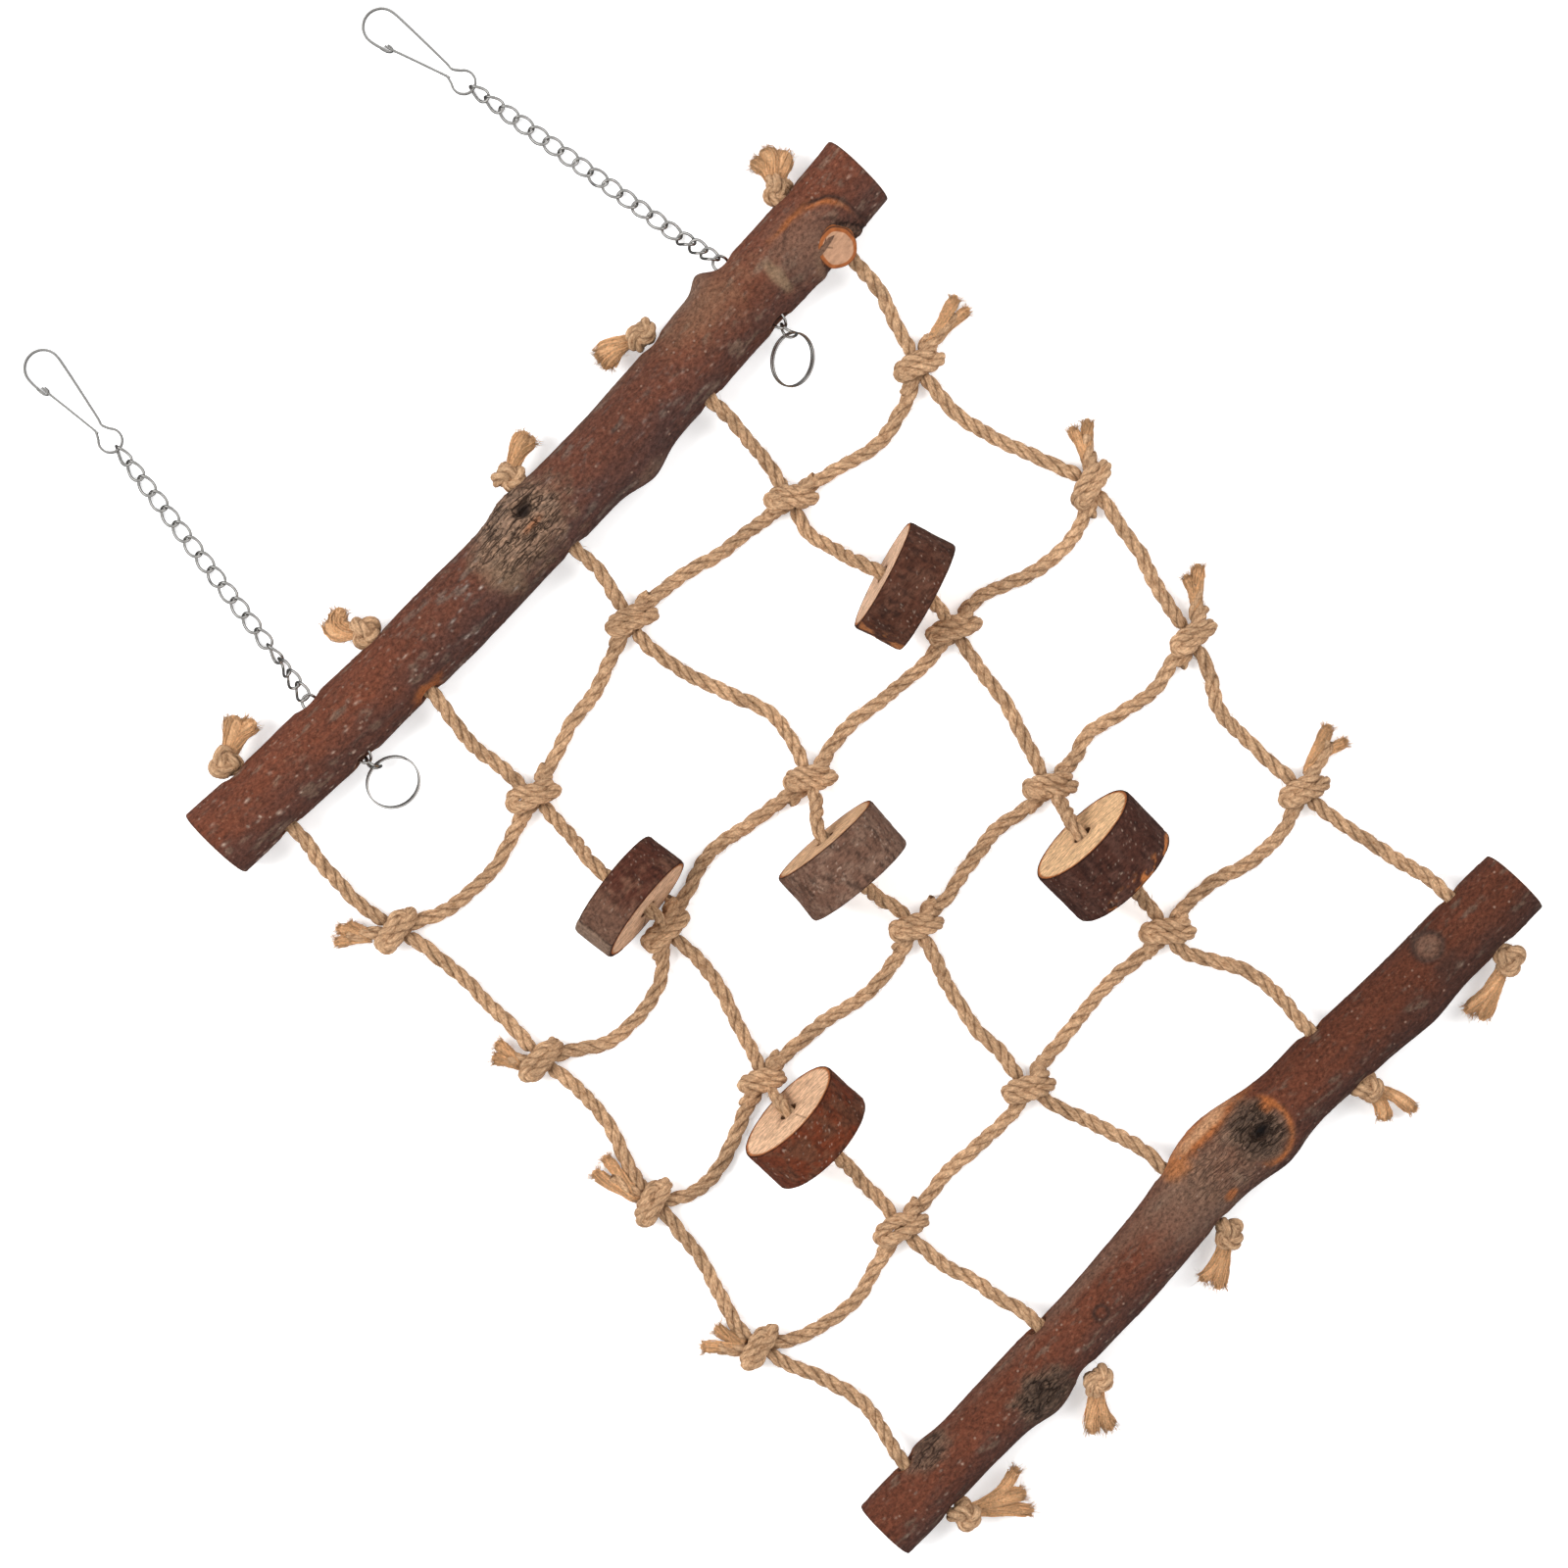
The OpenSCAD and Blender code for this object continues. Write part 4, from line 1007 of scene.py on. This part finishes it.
def wood_slice(i):
    """A sawn slice of a branch with its bark on: local Z is the bore."""
    joint = JOINTS[f"wood_slice_{i + 1}_spin"]
    radius, thick = SLICE_RADIUS[i], SLICE_THICKNESS[i]
    n = Noise(50 + i)
    half = thick / 2
    a = np.linspace(0, 2 * np.pi, SLICE_SIDES, endpoint=False)
    outline = radius - 0.35 * (1 + np.sin(np.radians(3 * np.degrees(a) + 50 * i))) / 2
    rings, colours = [], []
    low, mid, dark = (np.array(c) for c in SLICE_BARK[i])

    def ring(q, z):
        return np.stack([q * np.cos(a), q * np.sin(a), np.full(SLICE_SIDES, z) if np.isscalar(z) else z], -1)

    def face(side):
        """Rings and colours from the bark edge in to the bore."""
        out_rings, out_colours = [], []
        for f in (0.992, 0.975, 0.955, *np.linspace(0.94, 0.20, 26), 0.175):
            q = outline * f
            saw = n.layers(ring(q, side * 3.0) / (8, 0.8, 1), 3, 0.65)
            growth = n.at(ring(q, 5.0) / (12, 12, 1))
            band = 0.5 + 0.5 * np.sin(q * 4.4 + 5 * growth)
            edge = 0.25 if f > 0.99 else 0.05 if f > 0.96 else 0.0
            z = side * (half - edge + 0.22 * (saw - 0.5))
            colour = mix(SLICE_FACE[i], (0.34, 0.19, 0.10), 0.12 * band + 1.3 * (saw - 0.46))
            colour = mix(colour, (0.30, 0.155, 0.085), 0.4 * rise(-q, -7, -3))
            if f > 0.965:
                colour = np.tile(dark * 1.2, (SLICE_SIDES, 1))
            elif f > 0.93:
                colour = np.tile(np.array(INNER_ORANGE) * 1.1, (SLICE_SIDES, 1))
            crack = np.exp(-((np.abs((a - 1.9 - i + np.pi) % (2 * np.pi) - np.pi) * q) / 0.28) ** 2)
            colour = mix(colour, (0.16, 0.085, 0.045), 0.8 * crack * (0.35 < f < 0.93))
            out_rings.append(ring(q, z))
            out_colours.append(colour)
        return out_rings, out_colours

    bottom_rings, bottom_colours = face(-1)
    rings += bottom_rings[::-1]
    colours += bottom_colours[::-1]
    for z in np.linspace(-half, half, int(thick / 0.42)):
        q3 = ring(outline, z)
        lumps = n.layers(q3 / (5.5, 5.5, 8), 4)
        streak = n.layers(q3 / (1.6, 1.6, 3.5) + 9, 4)
        mottle = n.layers(q3 / (3.2, 3.2, 3.8) + 21, 4)
        specks = n.layers(q3 / (0.75, 0.75, 0.75) + 33, 2)
        colour = mix(low, mid, rise(mottle, 0.42, 0.62))
        colour = mix(colour, dark, 0.65 * rise(streak, 0.53, 0.70))
        colour = mix(colour, BARK_PALE, 0.5 * rise(specks, 0.73, 0.85))
        if i == 0:
            peel = rise(-np.cos(a) + 0.06 * (lumps - 0.5), 0.80, 0.84)
            colour = mix(colour, (0.14, 0.078, 0.052), rise(-np.cos(a), -0.1, 0.6) * 0.6)
            colour = mix(colour, (0.19, 0.125, 0.088), 0.8 * peel)
            colour = mix(colour, BLACK_WOOD_AND_HOLE_SHADE, np.exp(-((peel - 0.5) / 0.25) ** 2))
            outward = 0.7 * peel
        elif i == 4:
            peel = rise(n.layers(q3 / (6, 6, 3) + 41, 3), 0.57, 0.64) * rise(-z, 0.45 * half, 0.95 * half)
            colour = mix(colour, (0.36, 0.125, 0.038), peel)
            outward = -0.3 * peel
        elif i == 1:
            peel = rise(n.layers(q3 / (3, 3, 5) + 41, 3), 0.42, 0.56) * rise(-np.cos(a), 0.80, 0.96)
            colour = mix(colour, (0.34, 0.125, 0.04), 0.9 * peel)
            outward = -0.2 * peel
        else:
            outward = 0.25 * (streak - 0.5) if i == 2 else 0.0
        q = outline + 0.55 * (lumps - 0.5) + 0.22 * (streak - 0.5) + outward
        q = q - 0.35 * rise(abs(z), half - 0.8, half)
        rings.append(ring(q, z))
        colours.append(colour)
    top_rings, top_colours = face(1)
    rings += top_rings
    colours += top_colours
    # The bore, closed back round to the first ring
    for z in np.linspace(half - 0.2, -half + 0.2, 12):
        rings.append(ring(3.3 + 0.08 * np.sin(5 * a), z))
        colours.append(np.tile((0.22, 0.12, 0.06), (SLICE_SIDES, 1)))
    axis = np.array(joint["axis"]) / np.linalg.norm(joint["axis"])
    level = np.array([1.0, 0, 0]) - axis[0] * axis
    level /= np.linalg.norm(level)
    turn = np.stack([level, np.cross(axis, level), axis], axis=1)
    rings = (np.array(rings) * MM) @ turn.T + np.array(joint["pos_m"])
    rings[..., 2] = np.maximum(rings[..., 2], 0.0)
    build = Build()
    build.grid(rings, tint=np.array(colours), loop=True)
    name = f"wood_slice_{i + 1}"
    add(build.object(name + "_sawn", SLICE), name, "cut_wood", name)


for i in range(5):
    wood_slice(i)


# ---------------------------------------------------------------- chains, hooks and rings
WIRE = 0.9
LINK_HALF_WIDTH = 2.4
LINK_PITCH = 6.2
# Each chain's start, heading, pitch, its hook's heading, and the lean of the link under the perch
CHAINS = [(-88.5, 102.5, -8.9, 6.08, -3.2, 60), (100.5, 104.5, 8.05, 5.8, 9.5, 50)]
DROP, DROP_LINKS, NEAR_LINKS, FAR_LINKS, INNER_LINKS = 34, 3, 8, 9, 5
LYING_Z, BEND_Z = 2.0, 2.85
RING_SIDE_Y = 74.6
HOOK_BACK, HOOK_LIFT, HOOK_TILT = 0.8, 2.4, -2.3
EYE_RADIUS, BOW_RADIUS, BOW_Y = 3.8, 5.8, 35.5
RING_RADIUS = 8.5
# Each split ring's centre, heading and tilt
RINGS = [((-89, 64.8, 5.05), 0, 28), ((94.8, 65.7, 6.9), 27, 43.6)]


# How far each link is turned about the chain, from the perch to the hook
ROLLS = [(0.5, 0.5, 0.95, 1.1, 0.5, 0.25, 0.2, 0.2, 0.15, 0.2, 0.1, 0.2, 0.25, 0.15, 0.3, 0.5, 0.9),
         (-0.6, -0.3, -0.45, -0.3, -0.2, -0.35, -0.2, -0.1, 0.1, -0.1, 0.15, 0.1, 0.2, 0.15, 0.4, 0.8, 0.9)]


def chain_point(c, n):
    x, y, heading, pitch = c[:4]
    drop = min(n, DROP_LINKS) * pitch
    run = drop * math.cos(math.radians(DROP)) + max(0, n - DROP_LINKS) * pitch
    z = UPPER_Z - drop * math.sin(math.radians(DROP)) if n < DROP_LINKS else LYING_Z
    if n == NEAR_LINKS:
        z = BEND_Z
    h = math.radians(heading)
    return np.array([x - run * math.sin(h), y + run * math.cos(h), z])


def curb_link(build, a, b, roll):
    """A twisted round-ended link between the points where it meets its neighbours."""
    a, b = np.asarray(a, float), np.asarray(b, float)
    t = np.linspace(0, 2 * np.pi, 44, endpoint=False)
    half_length = (np.linalg.norm(b - a) + WIRE + 0.15) / 2
    local = np.stack([LINK_HALF_WIDTH * np.cos(t), half_length * np.sin(t), 0.72 * np.sin(2 * t)], -1)
    y = (b - a) / np.linalg.norm(b - a)
    x = np.cross(y, (0, 0, 1.0))
    x /= np.linalg.norm(x)
    z = np.cross(x, y)
    c, s = math.cos(roll), math.sin(roll)
    x, z = c * x + s * z, c * z - s * x
    rows = (a + b) / 2 + local @ np.array([x, y, z])
    rows[:, 2] = np.maximum(rows[:, 2], WIRE / 2)
    closed_tube(build, rows * MM, WIRE / 2 * MM, 12)


def closed_tube(build, p, radius, sides):
    """A tube round a closed loop of points."""
    t = np.roll(p, -1, 0) - np.roll(p, 1, 0)
    t /= np.linalg.norm(t, axis=1)[:, None]
    mid = p.mean(0)
    out = p - mid
    out -= (out * t).sum(1)[:, None] * t
    out /= np.linalg.norm(out, axis=1)[:, None]
    b = np.cross(t, out)
    a = np.linspace(0, 2 * np.pi, sides, endpoint=False)[None, :, None]
    build.grid(p[:, None] + radius * (np.cos(a) * out[:, None] + np.sin(a) * b[:, None]), loop=True)


def chain(side, index):
    c = CHAINS[index]
    for part, first, last in (("near", 0, NEAR_LINKS), ("far", NEAR_LINKS, NEAR_LINKS + FAR_LINKS)):
        build = Build()
        for n in range(first, last):
            a, b = chain_point(c, n), chain_point(c, n + 1)
            curb_link(build, a, b, ROLLS[index][n])
        add(build.object(f"{side}_chain_{part}_links", NICKEL), f"{side}_chain_{part}", "nickel",
            f"{side}_chain_{part}")
    build = Build()
    top = np.array([c[0], c[1], UPPER_Z])
    foot = np.array([CHAIN_HOLES[index], RING_SIDE_Y, UPPER_Z])
    for n in range(INNER_LINKS):
        curb_link(build, foot + (top - foot) * n / INNER_LINKS, foot + (top - foot) * (n + 1) / INNER_LINKS,
                  0.3 if n % 2 else -0.3)
    lean = math.radians(c[5])
    end = foot + 0.95 * LINK_PITCH * np.array([0, -math.cos(lean), -math.sin(lean)])
    curb_link(build, end, foot, 1.2)
    add(build.object(f"{side}_chain_inner_links", NICKEL), "upper_net", "nickel", f"{side}_chain_inner")


def turned(heading, tilt):
    """The matrix of a turn about Z after a tilt about X, in degrees."""
    about_z = Matrix.Rotation(math.radians(heading), 3, "Z")
    return np.array(about_z @ Matrix.Rotation(math.radians(tilt), 3, "X"))


def flat_wire(build, p, thick, tall, up):
    """A rounded flat wire along p: thick across its bends and tall along up."""
    t = np.gradient(p, axis=0)
    t /= np.linalg.norm(t, axis=1)[:, None]
    n = np.cross(up, t)
    n /= np.linalg.norm(n, axis=1)[:, None]
    a = np.linspace(0, 2 * np.pi, 16, endpoint=False)[None, :]
    c = np.sign(np.cos(a)) * np.abs(np.cos(a)) ** 0.6
    s = np.sign(np.sin(a)) * np.abs(np.sin(a)) ** 0.6
    rings = p[:, None] + thick / 2 * c[..., None] * n[:, None] + tall / 2 * s[..., None] * np.asarray(up)
    build.grid(rings)


def bend(radius, y, degrees):
    """Points round a bend of the hook's wire, with its centre at (0, y)."""
    return [(radius * math.cos(math.radians(a)), y + radius * math.sin(math.radians(a))) for a in degrees]


def hook(side, index):
    c = CHAINS[index]
    h = math.radians(c[2])
    end = chain_point(c, NEAR_LINKS + FAR_LINKS)
    origin = np.array([end[0] + HOOK_BACK * math.sin(h), end[1] - HOOK_BACK * math.cos(h), HOOK_LIFT])
    turn = turned(c[4], HOOK_TILT)
    up = turn @ np.array([0, 0, 1.0])

    def place(points):
        return smooth(np.array([(x, y, 0) for x, y in points]) @ turn.T + origin, 0.35) * MM

    eye = bend(EYE_RADIUS, EYE_RADIUS, range(135, 406, 9))
    bow = bend(BOW_RADIUS, BOW_Y, range(0, 181, 6))
    route = [(-1.4, 9.6), (-1.5, 8.9), *eye, (1.4, 9.3), (1.9, 11.5), (5.75, 34.2), *bow,
             (-5.8, 34), (-5.4, 29)]
    build = Build()
    flat_wire(build, place(route), 0.75 * MM, 1.5 * MM, up)
    # The lip that the gate closes into
    lip = [(-5.9, 31.6), (-5.5, 29.2), (-4.6, 28.2), (-3.7, 28.9), (-3.6, 30.4)]
    flat_wire(build, place(lip), 0.5 * MM, 1.9 * MM, up)
    add(build.object(f"{side}_snap_hook_wire", NICKEL), f"{side}_snap_hook", "nickel", f"{side}_snap_hook")
    build = Build()
    gate = [(-1.3, 8.2), (-1.45, 9.75), (-2.9, 20), (-4.3, 29.6), (-4.35, 31)]
    flat_wire(build, place(gate), 0.65 * MM, 1.4 * MM, up)
    add(build.object(f"{side}_snap_hook_gate_leaf", NICKEL), f"{side}_snap_hook_gate", "nickel",
        f"{side}_snap_hook_gate")


def split_ring(side, index):
    centre, heading, tilt = RINGS[index]
    turn = turned(heading, tilt)
    a = np.linspace(0.3, 0.3 + 4 * np.pi, 260)
    # The second turn lies on the first
    lift = 0.42 * np.tanh((a - 0.3 - 2 * np.pi) * 3.0)
    local = np.stack([RING_RADIUS * np.cos(a), RING_RADIUS * np.sin(a), lift], -1)
    p = (local @ turn.T + centre) * MM
    build = Build()
    flat_wire(build, p, 0.62 * MM, 0.8 * MM, turn @ np.array([0, 0, 1.0]))
    add(build.object(f"{side}_split_ring_coil", NICKEL), f"{side}_split_ring", "nickel", f"{side}_split_ring")


for index, side in enumerate(("left", "right")):
    chain(side, index)
    hook(side, index)
    split_ring(side, index)


# ---------------------------------------------------------------- floor and light
def for_metal(tree, seen, mirrored, output):
    """The polished metal sees mirrored in place of the white that everything else sees."""
    rays = tree.nodes.new("ShaderNodeLightPath")
    choice = tree.nodes.new("ShaderNodeMixShader")
    tree.links.new(rays.outputs["Is Glossy Ray"], choice.inputs["Fac"])
    tree.links.new(seen, choice.inputs[1])
    tree.links.new(mirrored, choice.inputs[2])
    tree.links.new(choice.outputs["Shader"], tree.nodes[output].inputs["Surface"])


floor_mesh = bpy.data.meshes.new("floor")
floor_mesh.from_pydata([(-3, -3, 0), (3, -3, 0), (3, 3, 0), (-3, 3, 0)], [], [(0, 1, 2, 3)])
floor_material = Shading("floor", 0.9)
for socket, value in (("Base Color", (0.92, 0.92, 0.92, 1)), ("Specular IOR Level", 0.1),
                      ("Emission Color", (1, 1, 1, 1)), ("Emission Strength", 0.30)):
    floor_material.shader.inputs[socket].default_value = value
seen_grey = floor_material.add("Emission", "Emission", {"Color": (0.10, 0.10, 0.10, 1)})
for_metal(floor_material.tree, floor_material.shader.outputs["BSDF"], seen_grey, "Material Output")
floor_mesh.materials.append(floor_material.material)
floor = bpy.data.objects.new("floor", floor_mesh)
floor.location = (0, 0, -0.0002)
scene.collection.objects.link(floor)


def softbox(name, place, aim, size, power):
    light = bpy.data.lights.new(name, "AREA")
    light.shape = "DISK"
    light.size = size
    light.energy = power
    obj = bpy.data.objects.new(name, light)
    obj.location = place
    obj.rotation_euler = (Vector(aim) - Vector(place)).to_track_quat("-Z", "Y").to_euler()
    obj.visible_glossy = False
    scene.collection.objects.link(obj)


softbox("key", (-0.75, 0.75, 1.5), (0, 0, 0), 0.9, 26)
softbox("fill", (0.95, -0.35, 1.3), (0, 0, 0), 1.1, 13)

world = bpy.data.worlds.new("studio")
world.use_nodes = True
tree = world.node_tree
background = tree.nodes["Background"]
background.inputs["Color"].default_value = (1, 1, 1, 1)
background.inputs["Strength"].default_value = 0.72
studio = tree.nodes.new("ShaderNodeBackground")
place = tree.nodes.new("ShaderNodeTexCoord")
split = tree.nodes.new("ShaderNodeSeparateXYZ")
tree.links.new(place.outputs["Generated"], split.inputs["Vector"])
ramp = tree.nodes.new("ShaderNodeValToRGB")
tree.links.new(split.outputs["Z"], ramp.inputs["Fac"])
ramp.color_ramp.elements[0].position = 0.0
ramp.color_ramp.elements[0].color = (0.04, 0.04, 0.04, 1)
ramp.color_ramp.elements[1].position = 1.0
ramp.color_ramp.elements[1].color = (0.26, 0.26, 0.26, 1)
for height, grey in ((0.25, 0.10), (0.45, 0.75), (0.66, 1.5), (0.84, 0.45)):
    step = ramp.color_ramp.elements.new(height)
    step.color = (grey, grey, grey, 1)
tree.links.new(ramp.outputs["Color"], studio.inputs["Color"])
for_metal(tree, background.outputs["Background"], studio.outputs["Background"], "World Output")
scene.world = world
scene.view_settings.view_transform = "Standard"
